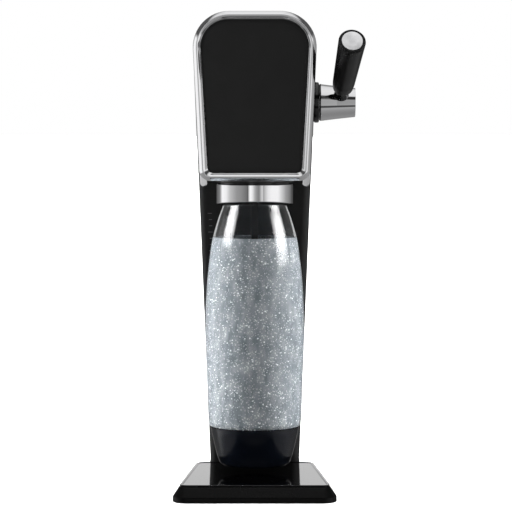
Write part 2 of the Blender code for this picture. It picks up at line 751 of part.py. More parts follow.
def make_bottle(axis):
    neck = (
        (NECK_RADIUS, BOTTLE_TOP_Z), (NECK_RADIUS, 281.8), (18.8, 281.5), (18.8, 279.5), (NECK_RADIUS, 279.2),
        (NECK_RADIUS, 275.5),
    )
    side = neck[-1:] + BOTTLE_SIDE
    base = ((37.2, 57.5), (35.5, 44), (32, 31), (26.5, 26.4), (14, 26.2), (0, 28))
    inside = inner_side(side[1:-1] + base[:-1], BOTTLE_WALL)
    bore = NECK_RADIUS - 3.4
    profile = neck[:-1] + side + base + ((0, 29.4),) + tuple(inside) + ((bore, 274), (bore, BOTTLE_TOP_Z))
    turned("bottle_body", start_on_axis(profile), axis, "clear")
    cup = (
        (38.2, 57.3), (40, 57.3), (37.4, 43.6), (34.2, 30.8), (31.6, 24.0), (28.4, 21.7), (0, 21.7),
        (0, 24.6), (28, 24.6), (33.1, 31), (36.4, 44),
    )
    turned("bottle_cup", start_on_axis(cup), axis, "black_gloss")


def make_tray(axis):
    def outline(inset, z):
        (half, front, radius), (rear_half, rear, rear_radius) = TRAY_FRONT, TRAY_REAR
        right = [
            (half - inset, front + inset, radius - inset),
            (rear_half - inset, rear - inset, rear_radius - inset),
        ]
        left = [(-u, v, corner) for u, v, corner in reversed(right)]
        return [(u, v, z) for u, v in rounded_path(right + left)]

    bottom = BASE_TOP_Z + GAP
    path = ((0.4, 0), (0, 0.4), (0, 0.9), (0.3, 1.2), (2.2, 1.2), (2.8, 0.7))
    sections = [outline(inset, bottom + height) for inset, height in path]
    add("drip_tray", loft("drip_tray", sections, caps=True), axis, "black_gloss")


def make_cover(axis, button_axis):
    loops = []
    for y, inset in COVER_LOOPS:
        outline = arch(tower_half, COVER_BOTTOM_Z, COVER_TOP_Z, HEAD_CORNER, inset)
        loops.append([(u, y, v) for u, v in outline])
    bm = bmesh.new()
    bm.from_mesh(loft("cover_skin", loops, closed=False))
    last = sorted(bm.verts, key=lambda v: v.index)[-len(loops[-1]):]
    bm.faces.new(last)
    cover = add("rear_cover", to_mesh("rear_cover", bm, closed=False), axis, "black_satin")
    thicken(cover, COVER_WALL)

    def oval(half_width, half_height):
        corners = [(s * half_width, BUTTON_Z + t * half_height, half_height * 0.98)
                   for s, t in ((-1, -1), (1, -1), (1, 1), (-1, 1))]
        return rounded_path(corners)

    hole = add("button_hole", slab("button_hole", oval(12.4, 5.4), "y", 135, 150), axis, None)
    combine(cover, hole, "DIFFERENCE")
    face = slab("cover_button", oval(12, 5), "y", 139, 146.8)
    button = add("cover_button", face, button_axis, "black_gloss")
    flange = add("button_flange", slab("button_flange", oval(15, 8), "y", 139.2, 142.4), button_axis, None)
    combine(button, flange, "UNION")


def make_lock_handle(axis):
    def turned_down(mesh):
        mesh.transform(Matrix.Rotation(math.radians(HANDLE_REST_DEGREES), 4, "X"))
        return mesh

    at = (0, CYLINDER_Y, HANDLE_Z)
    outline = rounded_path([(-6, -6, 5.9), (35, -6, 5.9), (35, 6, 5.9), (-6, 6, 5.9)])
    left_arm = turned_down(slab("lock_handle", outline, "x", -25.5, -22.5))
    handle = add("lock_handle", left_arm, axis, "grey_plastic", at)
    right_arm = turned_down(slab("handle_arm", outline, "x", 22.5, 25.5))
    other = add("handle_arm", right_arm, axis, None, at)
    bar_mesh = rod("handle_bar", 3, -24, 24, SMALL_STEPS)
    bar_mesh.transform(Matrix.Translation((0, 30 * MM, 0)) @ Matrix.Rotation(math.pi / 2, 4, "Y"))
    bar = add("handle_bar", turned_down(bar_mesh), axis, None, at)
    combine(handle, bar, "UNION")
    combine(handle, other, "UNION")
    drill(handle, 4.3, (-30, CYLINDER_Y, HANDLE_Z), X_AXIS, 60)


def centre_on_origin(machine):
    """Moves the machine so that its bounding box stands centred on the origin."""
    bpy.context.view_layer.update()
    depsgraph = bpy.context.evaluated_depsgraph_get()
    low = Vector((math.inf, math.inf, math.inf))
    high = -low
    for obj in PARTS.objects:
        if obj.type == "EMPTY":
            continue
        shown = obj.evaluated_get(depsgraph)
        mesh = shown.to_mesh()
        for vertex in mesh.vertices:
            point = shown.matrix_world @ vertex.co
            low = Vector(map(min, low, point))
            high = Vector(map(max, high, point))
        shown.to_mesh_clear()
    machine.location = (-(low.x + high.x) / 2, -(low.y + high.y) / 2, 0)


def main():
    machine = pivot("machine", (0, 0, 0), None)
    lever_axis = pivot("lever_axis", (0, *LEVER_AXIS), machine)
    plunger_axis = pivot("plunger_axis", (0, 24.6, LEVER_AXIS[1]), machine)
    holder_axis = pivot("holder_axis", (0, *HOLDER_AXIS), machine)
    bottle_axis = pivot("bottle_axis", (0, 0, 21.7), holder_axis)
    tray_axis = pivot("tray_axis", (0, -78.4, 14.2), machine)
    cover_axis = pivot("cover_axis", (0, *COVER_HINGE), machine)
    button_axis = pivot("button_axis", (0, 145, BUTTON_Z), cover_axis)
    handle_axis = pivot("handle_axis", (0, CYLINDER_Y, HANDLE_Z), machine)
    make_base(machine)
    make_tower(machine)
    make_head(machine)
    make_frame(machine)
    make_gas_system(machine)
    make_lever(lever_axis)
    make_plunger(plunger_axis)
    make_holder(holder_axis)
    make_bottle(bottle_axis)
    make_tray(tray_axis)
    make_cover(cover_axis, button_axis)
    make_lock_handle(handle_axis)
    centre_on_origin(machine)


clear_scene()
PARTS = new_collection("soda_carbonator")
CUTTERS = new_collection("cutters")
main()
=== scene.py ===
"""Looks of the soda carbonator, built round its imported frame.

Sizes are in millimetres, in the machine's own frame: x to the right, z up, with the
bottle's axis at x = y = 0 and the front at -y. ORIGIN puts that frame in the row frame.
"""

import json
import random
from math import atan2, cos, pi, radians, sin, tan

import bmesh
import bpy
from mathutils import Matrix, Vector


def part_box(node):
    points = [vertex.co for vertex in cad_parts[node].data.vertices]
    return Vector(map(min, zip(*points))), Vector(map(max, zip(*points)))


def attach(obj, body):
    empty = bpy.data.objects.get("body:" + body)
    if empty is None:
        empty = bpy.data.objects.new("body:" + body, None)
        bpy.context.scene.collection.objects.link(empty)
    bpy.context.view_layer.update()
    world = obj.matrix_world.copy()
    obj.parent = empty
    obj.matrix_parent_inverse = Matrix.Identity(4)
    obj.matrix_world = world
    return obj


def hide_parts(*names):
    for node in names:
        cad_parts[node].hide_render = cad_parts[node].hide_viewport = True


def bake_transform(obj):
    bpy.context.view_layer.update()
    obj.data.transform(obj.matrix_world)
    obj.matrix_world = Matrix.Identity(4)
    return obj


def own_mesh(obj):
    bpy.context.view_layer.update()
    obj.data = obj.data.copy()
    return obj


MM = 0.001
ROUND = 96
ARC = 8
SHARP = 40
SHELL_WALL = 2.5
THIN_WALL = 2.2
X_AXIS = Vector((1, 0, 0))
Y_AXIS = Vector((0, 1, 0))
Z_AXIS = Vector((0, 0, 1))

# Base and tray: (half width, y, corner radius) of the base's wide front, its step and its tail
BASE_FRONT = (72.7, -88.0, 13.0)
BASE_STEP = (60.3, 66.0, 12.0)
BASE_TAIL = (42.0, 150.0, 20.0)
BASE_SECTION = (
    (0, 0.8), (0, 4.5), (0.1, 5.1), (0.5, 5.8), (5.1, 12.3), (5.6, 13.0),
    (6.2, 13.6), (6.9, 13.87), (7.6, 13.9),
)
BASE_RIM = ((2.4, 0.8), (0.9, 0.3), (0.3, 0.4))
BASE_TOP_Z = 13.9
BASE_PLATE_Z = (2.7, 4.7)
BASE_PLATE_GAP = 3.2
TRAY_FRONT = (66.0, -81.4, 6.5)
TRAY_REAR = (53.9, 56.2, 10.0)
TRAY_SECTION = (
    (0.5, 0.3), (0.1, 0.5), (0, 0.8), (0, 1.15), (0.12, 1.38), (0.4, 1.5), (1.9, 1.5), (2.3, 1.42),
    (2.9, 1.1), (3.6, 1.0),
)

# Tower and head: HALF is (half width, its height, growth per unit of height)
TOWER_FRONT = 57.0
TOWER_REAR = 112.0
TOWER_Z = (14.2, 283.2)
TOWER_CORNER = 8.0
HEAD_Z = (283.5, 428.0)
HEAD_CORNER = 31.6
HEAD_Y = (-29.7, 57.0, 112.0)
HEAD_HALF = (49.4, 298.0, 0.0483)
TOWER_HALF = (41.5, 16.0, 0.0405)
MARK_TOP_Z = 246.6
MARK_STEP = 5.8
MARK_INSET = 11.0
MARK_WIDTHS = (3.9, 2.9, 2.9)
SURROUND_Y = (-45.7, -30.0)
SURROUND_BOTTOM = 277.8
SURROUND_WIDTH = 6.6
BEZEL_BOTTOM = 279.5
BEZEL_BOTTOM_CORNER = 10.5
BEZEL_WIDTH = 7.3
PANEL_GAP = 0.35
PANEL_FACE_Y = -55.45
PANEL_CROWN = 0.5
PANEL_MID_Z = 356.0
FLOOR_Z = (281.0, 283.0)

# Frame, lever and holder
FRAME_X = (42.6, 45.1)
LEVER_AXIS = (15.0, 349.0)
HOLDER_AXIS = (8.0, 300.0)
PIN_HOLE = 3.3
CROSS_HALF = 42.3
BUSHING_HOLE = 18.8
PLUNGER_Z = LEVER_AXIS[1]
PLUNGER_TIP_Y = 24.6
PLUNGER_HOLE = (4.6, (0, PLUNGER_Z))
HUB_POINT = Vector((76.8, 15.0, 349.0))
GRIP_END = Vector((84.0, -83.0, 401.0))
HUB_X = (58.3, 90.7)
CAM_RADIUS = 9.0
CAM_LIFT_PER_RADIAN = 4.167
CAM_LIFT_DEGREES = 65
CAM_DROP_DEGREES = 150
RING_RADIUS = 34.5
RING_TOP = 275.8
RING_BOTTOM = 257.4
RING_SLOPE = 0.085
# A thin dark sheet inside the ring: painted shade that keeps bright light refracted through the bottle's
# shoulder from showing.
SHADE_LINER_TOP = 264.5
SHADE_LINER_WALL = 0.5

# Gas
CYLINDER_Y = 96.0
CYLINDER_RADIUS = 30.0
CRADLE_RADII = (30.5, 33.4)
RIBS = 24
HANDLE_Z = 318.0
HANDLE_REST_DEGREES = -50
HOSE_ROUTE = (
    (-20.3, 96, 346), (-28, 96, 346), (-35, 94, 342), (-37, 88, 332), (-37, 78, 324), (-35, 64, 319),
    (-30, 48, 317), (-20, 28, 318), (-8, 10, 320), (-1, 1, 315), (0, 0, 306.3),
)

# Bottle: (radius, height) down the outside
BOTTLE_SIDE = (
    (17.0, 275.5), (19.0, 273.0), (24.0, 268.5), (27.5, 262.0), (29.7, 254.5), (33.6, 243.4), (38.4, 224.9),
    (42.1, 196.9), (44.0, 170.8), (44.6, 134.6), (43.2, 98.2), (42.2, 66.4), (41.0, 57.7),
)
BOTTLE_WALL = 1.4
WATER_TOP = 227.3
WATER_OVERLAP = 0.12
BUBBLES = 4800
BUBBLES_FROM = 31.0
BUBBLES_RISE = WATER_TOP - 33.0
SMALLEST_BUBBLE = 0.3
BUBBLE_GROWTH = 0.75
ON_THE_WALL = 0.8

# Rear cover
COVER_Z = (18.0, 427.0)
COVER_LOOPS = (
    (112.5, 0.0), (129.0, 0.0), (133.0, 0.25), (136.5, 1.0), (139.5, 2.6), (142.0, 5.0), (143.8, 7.8),
    (144.7, 10.6), (145.0, 14.0),
)
BUTTON_Z = 388.0

# Studio light levels by angle in degrees: (azimuth, level) at eye height, (elevation, level) ahead, to the
# sides and behind, and (azimuth, level) for what is seen through glass and for what lights diffuse surfaces
# again. The last three tables say where eye height, ahead and behind are.
STUDIO_LEVEL = (
    (-180, 0.12), (-150, 0.14), (-128, 0.30), (-115, 1.15), (-96, 1.05), (-80, 0.64), (-66, 0.48),
    (-56, 0.37), (-42, 0.32), (-23, 0.19), (-19.5, 0.10), (-18, 0.72), (-13, 1.2), (-7, 0.98), (0, 0.52),
    (6, 0.34), (13, 0.25), (21, 0.75), (23.5, 0.85), (25.5, 0.36), (30, 0.6), (40, 0.95), (52, 1.1),
    (74, 1.1), (89, 0.75), (107, 0.4), (128, 0.25), (150, 0.08), (180, 0.05),
)
STUDIO_AHEAD = (
    (-90, 0.22), (-55, 0.34), (-38, 0.45), (-33, 0.07), (-24, 0.07), (23, 0.03), (39, 0.03), (46, 0.85),
    (90, 1.0),
)
STUDIO_SIDES = ((-90, 0.25), (-24, 0.35), (22, 0.1), (50, 0.1), (60, 0.8), (90, 1.0))
STUDIO_BEHIND = (
    (-90, 0.3), (-20, 0.3), (3, 0.12), (5, 1.18), (22, 1.18), (30, 0.3), (50, 0.3), (60, 0.9), (90, 1.0),
)
THROUGH_GLASS = (
    (-180, 1.0), (-160, 1.0), (-145, 0.15), (-60, 0.05), (60, 0.05), (145, 0.15), (160, 1.0), (180, 1.0),
)
SIDE_LIGHTS = (
    (-180, 0.4), (-140, 0.4), (-120, 12.2), (-80, 12.2), (-65, 0.3), (65, 0.3), (80, 9.6), (120, 9.6),
    (140, 0.4), (180, 0.4),
)
AT_EYE_HEIGHT = ((-90, 0), (-24, 0), (-20, 1), (16, 1), (22, 0), (90, 0))
IS_AHEAD = ((-180, 0), (-62, 0), (-45, 1), (40, 1), (58, 0), (180, 0))
IS_BEHIND = ((-180, 1), (-167, 1), (-160, 0), (160, 0), (167, 1), (180, 1))
# Soft boxes that only the bottle mirrors: (azimuth, elevation, width, height, radiance), as seen from it
SOFT_BOXES = ((-80.0, 23.0, 440.0, 350.0, 25.0), (76.0, 20.0, 480.0, 400.0, 25.0))
SOFT_BOX_FROM = (0.0, 0.0, 235.0)
SOFT_BOX_AWAY = 620.0

# Camera, in the machine's frame
CAMERA_AT = (1.1, -2025.5, 329.5)
CAMERA_PITCH = 3.36
CAMERA_LENS = 158.2


# ---- shape helpers


def rounded_path(corners, closed=True, arc=ARC):
    """Points through the corners (u, v, radius), each rounded with an arc."""
    points = []
    count = len(corners)
    for i, (u, v, radius) in enumerate(corners):
        here = Vector((u, v))
        if radius == 0 or (not closed and i in (0, count - 1)):
            points.append(here)
            continue
        to_before = (Vector(corners[i - 1][:2]) - here).normalized()
        to_after = (Vector(corners[(i + 1) % count][:2]) - here).normalized()
        half = to_before.angle(to_after) / 2
        reach = radius / tan(half)
        centre = here + (to_before + to_after).normalized() * (radius / sin(half))
        first = here + to_before * reach - centre
        last = here + to_after * reach - centre
        sweep = atan2(first.cross(last), first.dot(last))
        for k in range(arc + 1):
            points.append(centre + Matrix.Rotation(sweep * k / arc, 2) @ first)
    return points


def rectangle(left, low, right, high, radius):
    corners = ((left, low), (right, low), (right, high), (left, high))
    return rounded_path([(u, v, radius) for u, v in corners])


def smooth_curve(knots, steps):
    """Points on a Catmull-Rom curve through the knots."""
    knots = [Vector(point) for point in knots]
    knots = [knots[0] * 2 - knots[1]] + knots + [knots[-1] * 2 - knots[-2]]
    points = []
    for a, b, c, d in zip(knots, knots[1:], knots[2:], knots[3:]):
        for k in range(steps):
            t = k / steps
            bend = (c - a) * t + (a * 2 - b * 5 + c * 4 - d) * t**2 + (b * 3 - a - c * 3 + d) * t**3
            points.append(b + bend / 2)
    points.append(knots[-2])
    return points


def polar(radius, angle, centre=(0, 0)):
    return Vector((centre[0] + radius * cos(angle), centre[1] + radius * sin(angle)))


def circle(radius, centre=(0, 0), steps=ROUND):
    return [polar(radius, 2 * pi * k / steps, centre) for k in range(steps)]


def in_plane(axis, point, depth):
    """A 2D point set at a depth along x, y or z."""
    u, v = point
    return Vector({"x": (depth, u, v), "y": (u, depth, v), "z": (u, v, depth)}[axis])


def loft(sections, closed=True, caps=False, ring=False, end_cap=False):
    """Skins sections of equally many points: an open surface, a capped solid or a ring."""
    bm = bmesh.new()
    rows = [[bm.verts.new(Vector(point)) for point in section] for section in sections]
    pairs = list(zip(rows, rows[1:]))
    if ring:
        pairs.append((rows[-1], rows[0]))
    count = len(rows[0])
    for lower, upper in pairs:
        for i in range(count if closed else count - 1):
            j = (i + 1) % count
            bm.faces.new((lower[i], lower[j], upper[j], upper[i]))
    if caps:
        bm.faces.new(list(reversed(rows[0])))
    if caps or end_cap:
        bm.faces.new(rows[-1])
    if caps or ring:
        bmesh.ops.recalc_face_normals(bm, faces=bm.faces)
    return bm


def slab(outline, axis, start, end, holes=(), edge=0.0):
    """A flat outline with round holes, made into a plate with softened edges."""
    bm = bmesh.new()
    edges = []
    for rim in [outline] + [circle(radius, centre, 40) for radius, centre in holes]:
        verts = [bm.verts.new(in_plane(axis, p, start)) for p in rim]
        edges += [bm.edges.new((a, b)) for a, b in zip(verts, verts[1:] + verts[:1])]
    made = bmesh.ops.triangle_fill(bm, edges=edges, use_beauty=True)
    faces = [item for item in made["geom"] if isinstance(item, bmesh.types.BMFace)]
    grown = bmesh.ops.extrude_face_region(bm, geom=faces)
    moved = [item for item in grown["geom"] if isinstance(item, bmesh.types.BMVert)]
    bmesh.ops.translate(bm, verts=moved, vec=in_plane(axis, (0, 0), end - start))
    bmesh.ops.recalc_face_normals(bm, faces=bm.faces)
    bmesh.ops.dissolve_limit(bm, angle_limit=radians(1), verts=bm.verts, edges=bm.edges)
    if edge:
        soften(bm, edge)
    return bm


def soften(bm, width, segments=2):
    """Rounds the sharp edges."""
    sharp = [e for e in bm.edges if len(e.link_faces) == 2 and e.calc_face_angle(0) > radians(SHARP)]
    bmesh.ops.bevel(
        bm, geom=sharp, offset=width, offset_type="OFFSET", segments=segments, profile=0.5, affect="EDGES",
        clamp_overlap=True,
    )


def block(low, high, edge=0.5):
    bm = bmesh.new()
    low, high = Vector(low), Vector(high)
    size = Matrix.Diagonal((*(high - low), 1.0))
    bmesh.ops.create_cube(bm, size=1.0, matrix=Matrix.Translation((low + high) / 2) @ size)
    soften(bm, edge, 3)
    return bm


def revolve(profile, steps=ROUND, closed=None):
    """Spins (radius, height) points about z. A profile that starts and ends on the axis closes itself."""
    on_axis = profile[0][0] == 0 and profile[-1][0] == 0
    closed = not on_axis if closed is None else closed
    bm = bmesh.new()
    rings = []
    for radius, height in profile:
        if radius < 1e-6:
            rings.append([bm.verts.new((0, 0, height))])
        else:
            rings.append([bm.verts.new((x, y, height)) for x, y in circle(radius, steps=steps)])
    pairs = list(zip(rings, rings[1:]))
    if closed:
        pairs.append((rings[-1], rings[0]))
    for a, b in pairs:
        for i in range(steps):
            j = (i + 1) % steps
            quad = [a[i % len(a)], a[j % len(a)], b[j % len(b)], b[i % len(b)]]
            corners = [v for k, v in enumerate(quad) if v not in quad[:k]]
            if len(corners) > 2:
                bm.faces.new(corners)
    if on_axis or closed:
        bmesh.ops.recalc_face_normals(bm, faces=bm.faces)
    return bm


def turned(corners, steps=ROUND, arc=4):
    """Spins an outline of (radius, height, rounding) corners."""
    on_axis = corners[0][0] == 0 and corners[-1][0] == 0
    path = rounded_path(corners, closed=not on_axis, arc=arc)
    profile = [(0.0 if p.x < 1e-6 else p.x, p.y) for p in path]
    return revolve(profile, steps)


def tube(points, radius, sides=16):
    """A round tube that follows points, made of rings carried along the curve."""
    points = [Vector(p) for p in points]
    angles = [2 * pi * k / sides for k in range(sides)]
    sections = []
    side = None
    for i, point in enumerate(points):
        along = (points[min(i + 1, len(points) - 1)] - points[max(i - 1, 0)]).normalized()
        if side is None:
            side = along.orthogonal().normalized()
        side = (side - along * side.dot(along)).normalized()
        other = along.cross(side)
        sections.append([point + (side * cos(a) + other * sin(a)) * radius for a in angles])
    return loft(sections, caps=True)


def coil(radius, axis, centre, start, end, turns, wire, sides):
    """A coil spring of round wire."""
    points = []
    for k in range(turns * 24 + 1):
        depth = start + (end - start) * k / (turns * 24)
        points.append(in_plane(axis, polar(radius, 2 * pi * k / 24, centre), depth))
    return tube(points, wire, sides)


def to_mesh(name, bm):
    mesh = bpy.data.meshes.new(name)
    bm.to_mesh(mesh)
    bm.free()
    return mesh


def merged(*meshes):
    """Several bmeshes as one."""
    whole = bmesh.new()
    for bm in meshes:
        mesh = to_mesh("part", bm)
        whole.from_mesh(mesh)
        bpy.data.meshes.remove(mesh)
    return whole


def placed(name, data):
    """A new object in the scene."""
    obj = bpy.data.objects.new(name, data)
    bpy.context.scene.collection.objects.link(obj)
    return obj


def piece(
    name, bm, look, nodes=(), at=(0, 0, 0), along=Z_AXIS, turn=None, sharp=SHARP, wall=0.0, even=True,
    body=None,
):
    """Places a bmesh in the machine, gives it its look and lets it ride on `body` or its node's body."""
    rotation = (turn or Z_AXIS.rotation_difference(Vector(along)).to_matrix()).to_4x4()
    bm.transform(Matrix.Translation(Vector(at)) @ rotation)
    bm.transform(Matrix.Translation(ORIGIN) @ Matrix.Scale(MM, 4))
    look = LOOK[look]
    obj = placed(name, to_mesh(name, bm))
    shade(obj, sharp)
    obj.data.materials.append(look)
    if wall:
        add_wall(obj, wall)
        rim = obj.modifiers.new("Rim", "BEVEL")
        rim.width = 0.4 * MM
        rim.segments = 2
        rim.limit_method = "ANGLE"
        rim.angle_limit = radians(60)
    if even:
        even_shading(obj)
    if body is None:
        body = BODIES[nodes[0]]
    if body:
        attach(obj, body)
    if nodes:
        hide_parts(*nodes)
    return obj


def shade(obj, sharp):
    obj.data.shade_smooth()
    obj.data.set_sharp_from_angle(angle=radians(sharp))


def even_shading(obj):
    """Lets large faces set the shading of the small ones beside them."""
    weighted = obj.modifiers.new("Shading", "WEIGHTED_NORMAL")
    weighted.keep_sharp = True


def add_wall(obj, thickness, even_offset=False):
    """Thickens a surface inwards."""
    solid = obj.modifiers.new("Wall", "SOLIDIFY")
    solid.thickness = thickness * MM
    solid.offset = -1
    solid.use_even_offset = even_offset


def pierce(shell, cutter, wall):
    """Gives a shell its wall and a hole in the cutter's shape, and applies both."""
    add_wall(shell, wall, even_offset=True)
    hole = shell.modifiers.new("Hole", "BOOLEAN")
    hole.operation = "DIFFERENCE"
    hole.object = cutter
    depsgraph = bpy.context.evaluated_depsgraph_get()
    mesh = bpy.data.meshes.new_from_object(shell.evaluated_get(depsgraph))
    shell.modifiers.clear()
    shell.data = mesh
    shade(shell, SHARP)
    even_shading(shell)
    bpy.data.objects.remove(cutter)


# ---- materials


def put(socket, value):
    """Links an output to a socket, or sets the socket's own value."""
    if isinstance(value, bpy.types.NodeSocket):
        socket.id_data.links.new(value, socket)
    else:
        socket.default_value = value


def feed(node, **sockets):
    """Puts values on a node's sockets by name, with an underscore for a space."""
    for name, value in sockets.items():
        put(node.inputs[name.replace("_", " ")], value)
    return node


def new_material(name, slot, colour, roughness, metallic=0.0, **sockets):
    """A Principled material, its nodes and its shader."""
    made = bpy.data.materials.new(name)
    made.use_nodes = True
    made["slot"] = slot
    shader = made.node_tree.nodes["Principled BSDF"]
    feed(shader, Base_Color=(*colour, 1.0), Roughness=roughness, Metallic=metallic, **sockets)
    return made, made.node_tree.nodes, shader


def noise(nodes, scale, detail=3.0, stretch=None):
    """Noise on object coordinates, scale in features per metre."""
    source = nodes.new("ShaderNodeTexCoord").outputs["Object"]
    if stretch:
        source = feed(nodes.new("ShaderNodeMapping"), Scale=stretch, Vector=source).outputs["Vector"]
    texture = feed(nodes.new("ShaderNodeTexNoise"), Vector=source, Scale=scale, Detail=detail)
    return texture.outputs["Fac"]


def spread(nodes, source, low, high, dark=0.3, light=0.7):
    """Maps a texture's middle range to values from low to high."""
    ramp = feed(nodes.new("ShaderNodeMapRange"), Value=source, From_Min=dark, From_Max=light)
    return feed(ramp, To_Min=low, To_Max=high).outputs["Result"]


def add_bump(nodes, shader, source, strength, depth):
    bump = feed(nodes.new("ShaderNodeBump"), Strength=strength, Distance=depth * MM, Height=source)
    feed(shader, Normal=bump.outputs["Normal"])


def moulded_plastic(name, slot, colour, roughness, grain, depth, specular=0.5):
    """Plastic with a fine moulded grain and slightly uneven gloss."""
    made, nodes, shader = new_material(name, slot, colour, roughness, Specular_IOR_Level=specular)
    patches = noise(nodes, 45, 4)
    feed(shader, Roughness=spread(nodes, patches, roughness * 0.82, roughness * 1.18))
    add_bump(nodes, shader, noise(nodes, grain, 2), 0.35, depth)
    return made


def polished_metal(name, slot, colour, roughness):
    """Plated metal with faint smudges in its gloss."""
    made, nodes, shader = new_material(name, slot, colour, roughness, 1.0)
    smudges = noise(nodes, 60, 5)
    feed(shader, Roughness=spread(nodes, smudges, roughness * 0.6, roughness * 1.7))
    return made


def brushed_metal(name, slot, colour, roughness, stretch, depth=0.02, metallic=1.0):
    """Metal with fine lines along one direction."""
    made, nodes, shader = new_material(name, slot, colour, roughness, metallic)
    lines = noise(nodes, 400, 4, stretch)
    feed(shader, Roughness=spread(nodes, lines, roughness * 0.7, roughness * 1.4))
    add_bump(nodes, shader, lines, 0.4, depth)
    return made


def water_material():
    """Lively water: faint veils of gas, fine rising streaks and pin-prick bubbles in clear water."""
    made, nodes, shader = new_material(
        "sparkling_water", "clear", (0.8, 0.83, 0.86), 0.10, Transmission_Weight=0.3, IOR=1.33,
    )
    place = nodes.new("ShaderNodeTexCoord")
    cells = feed(nodes.new("ShaderNodeTexVoronoi"), Scale=450, Randomness=1.0, Vector=place.outputs["Object"])
    dots = spread(nodes, cells.outputs["Distance"], 1.0, 0.0, 0.12, 0.34)
    streaks = spread(nodes, noise(nodes, 170, 5, (1.0, 1.0, 0.5)), 0.0, 1.0)
    veils = spread(nodes, noise(nodes, 55, 3), 0.45, 1.0)
    faint_streaks = maths(nodes, "MULTIPLY", streaks, 0.35)
    total = maths(nodes, "MULTIPLY", maths(nodes, "MULTIPLY_ADD", dots, 0.65, faint_streaks), veils)
    tint = feed(nodes.new("ShaderNodeValToRGB"), Fac=total)
    tint.color_ramp.elements[0].color = (0.27, 0.305, 0.34, 1)
    tint.color_ramp.elements[1].color = (1.0, 1.0, 1.0, 1)
    # Painted shade: the upward-facing top is kept fully clear, without the milky body colour, so its lit
    # surface is not mirrored bright in the bottle's back wall.
    facing = feed(nodes.new("ShaderNodeSeparateXYZ"), Vector=place.outputs["Normal"])
    surface = spread(nodes, facing.outputs["Z"], 0.0, 1.0, 0.6, 0.9)
    clear = maths(nodes, "MAXIMUM", spread(nodes, total, 0.45, 0.0, 0.0, 1.0), surface)
    feed(shader, Base_Color=tint.outputs["Color"], Transmission_Weight=clear)
    add_bump(nodes, shader, total, 0.8, 0.5)
    return made


# Plastics: (material, slot, colour, roughness, grain, depth of the grain, specular level if not 0.5)
PLASTICS = {
    "panel": ("black_panel", "black_satin", (0.015, 0.015, 0.0152), 0.40, 900, 0.01, 0.22),
    "satin": ("black_satin", "black_satin", (0.007, 0.007, 0.0073), 0.36, 1100, 0.015, 0.2),
    "gloss": ("black_gloss", "black_gloss", (0.0035, 0.0035, 0.0042), 0.10, 260, 0.01),
    "base": ("black_base", "black_gloss", (0.002, 0.002, 0.0021), 0.28, 700, 0.01, 0.10),
    "tray": ("tray_gloss", "black_gloss", (0.003, 0.003, 0.0035), 0.07, 200, 0.004),
    "cup": ("cup_gloss", "black_gloss", (0.005, 0.007, 0.0125), 0.12, 180, 0.006, 0.35),
    "grip": ("grip_satin", "black_satin", (0.005, 0.005, 0.0054), 0.30, 1300, 0.008, 0.25),
    "rubber": ("rubber", "rubber", (0.014, 0.014, 0.014), 0.8, 1600, 0.04),
    "grey": ("grey_plastic", "grey_plastic", (0.10, 0.10, 0.105), 0.45, 900, 0.02),
    "pink": ("pink_plastic", "pink_plastic", (0.62, 0.09, 0.23), 0.35, 900, 0.02),
    "mark": ("grey_mark", "black_satin", (0.066, 0.066, 0.069), 0.4, 900, 0.01),
    "straw": ("straw_plastic", "white_tube", (0.01, 0.011, 0.012), 0.12, 700, 0.004),
}


def make_looks():
    looks = {look: moulded_plastic(*values) for look, values in PLASTICS.items()}
    looks["chrome"] = polished_metal("chrome", "chrome", (0.80, 0.80, 0.81), 0.05)
    looks["silver"] = polished_metal("silver_cap", "chrome", (0.88, 0.88, 0.89), 0.30)
    looks["spring"] = polished_metal("spring_steel", "steel", (0.50, 0.50, 0.52), 0.18)
    looks["steel"] = brushed_metal("steel", "steel", (0.55, 0.55, 0.56), 0.28, (1.0, 0.06, 1.0))
    looks["shaft"] = brushed_metal("ground_steel", "steel", (0.60, 0.60, 0.62), 0.2, (2.0, 0.3, 0.3))
    looks["brass"] = brushed_metal("brass", "brass", (0.70, 0.48, 0.20), 0.26, (1.0, 1.0, 3.0), 0.006, 0.8)
    looks["aluminium"] = brushed_metal(
        "aluminium", "aluminium", (0.62, 0.63, 0.65), 0.34, (0.15, 0.15, 2.5), 0.006, 0.55,
    )
    looks["clear"], nodes, shader = new_material(
        "clear_plastic", "clear", (0.97, 0.985, 0.99), 0.012, Transmission_Weight=1.0, IOR=1.5,
    )
    add_bump(nodes, shader, noise(nodes, 22, 2), 0.12, 0.35)
    looks["water"] = water_material()
    looks["bubble"], nodes, shader = new_material(
        "bubble", "clear", (0.93, 0.95, 0.97), 0.08, Transmission_Weight=0.1, IOR=1.25,
    )
    feed(shader, Roughness=spread(nodes, noise(nodes, 300, 2), 0.04, 0.25))
    return looks


# ---- outlines


def base_outline(slope, z, shrink=0.0):
    """The base's outline, its wide part drawn in by slope and all of it by shrink."""
    inset = slope + shrink
    (half, front, radius), (step_half, step, step_radius) = BASE_FRONT, BASE_STEP
    tail_half, rear, tail_radius = BASE_TAIL
    right = [
        (half - inset, front + inset, radius - inset),
        (step_half - inset, step - inset, max(step_radius - inset, 4.0)),
        (tail_half - shrink, step - inset, 2.0),
        (tail_half - shrink, rear - shrink, tail_radius - shrink),
    ]
    return mirrored(right, z)


def tray_outline(inset, z):
    (half, front, radius), (rear_half, rear, rear_radius) = TRAY_FRONT, TRAY_REAR
    right = [
        (half - inset, front + inset, radius - inset),
        (rear_half - inset, rear - inset, rear_radius - inset),
    ]
    return mirrored(right, z)


def mirrored(right, z):
    left = [(-u, v, corner) for u, v, corner in reversed(right)]
    return [(u, v, z) for u, v in rounded_path(right + left, arc=12)]


def front_half(z):
    """Half width of the head's front outline."""
    half, low, slope = HEAD_HALF
    return half + (z - low) * slope


def tower_half(z):
    """Half width of the tower, and of the head's rear outline."""
    half, low, slope = TOWER_HALF
    return half + (z - low) * slope


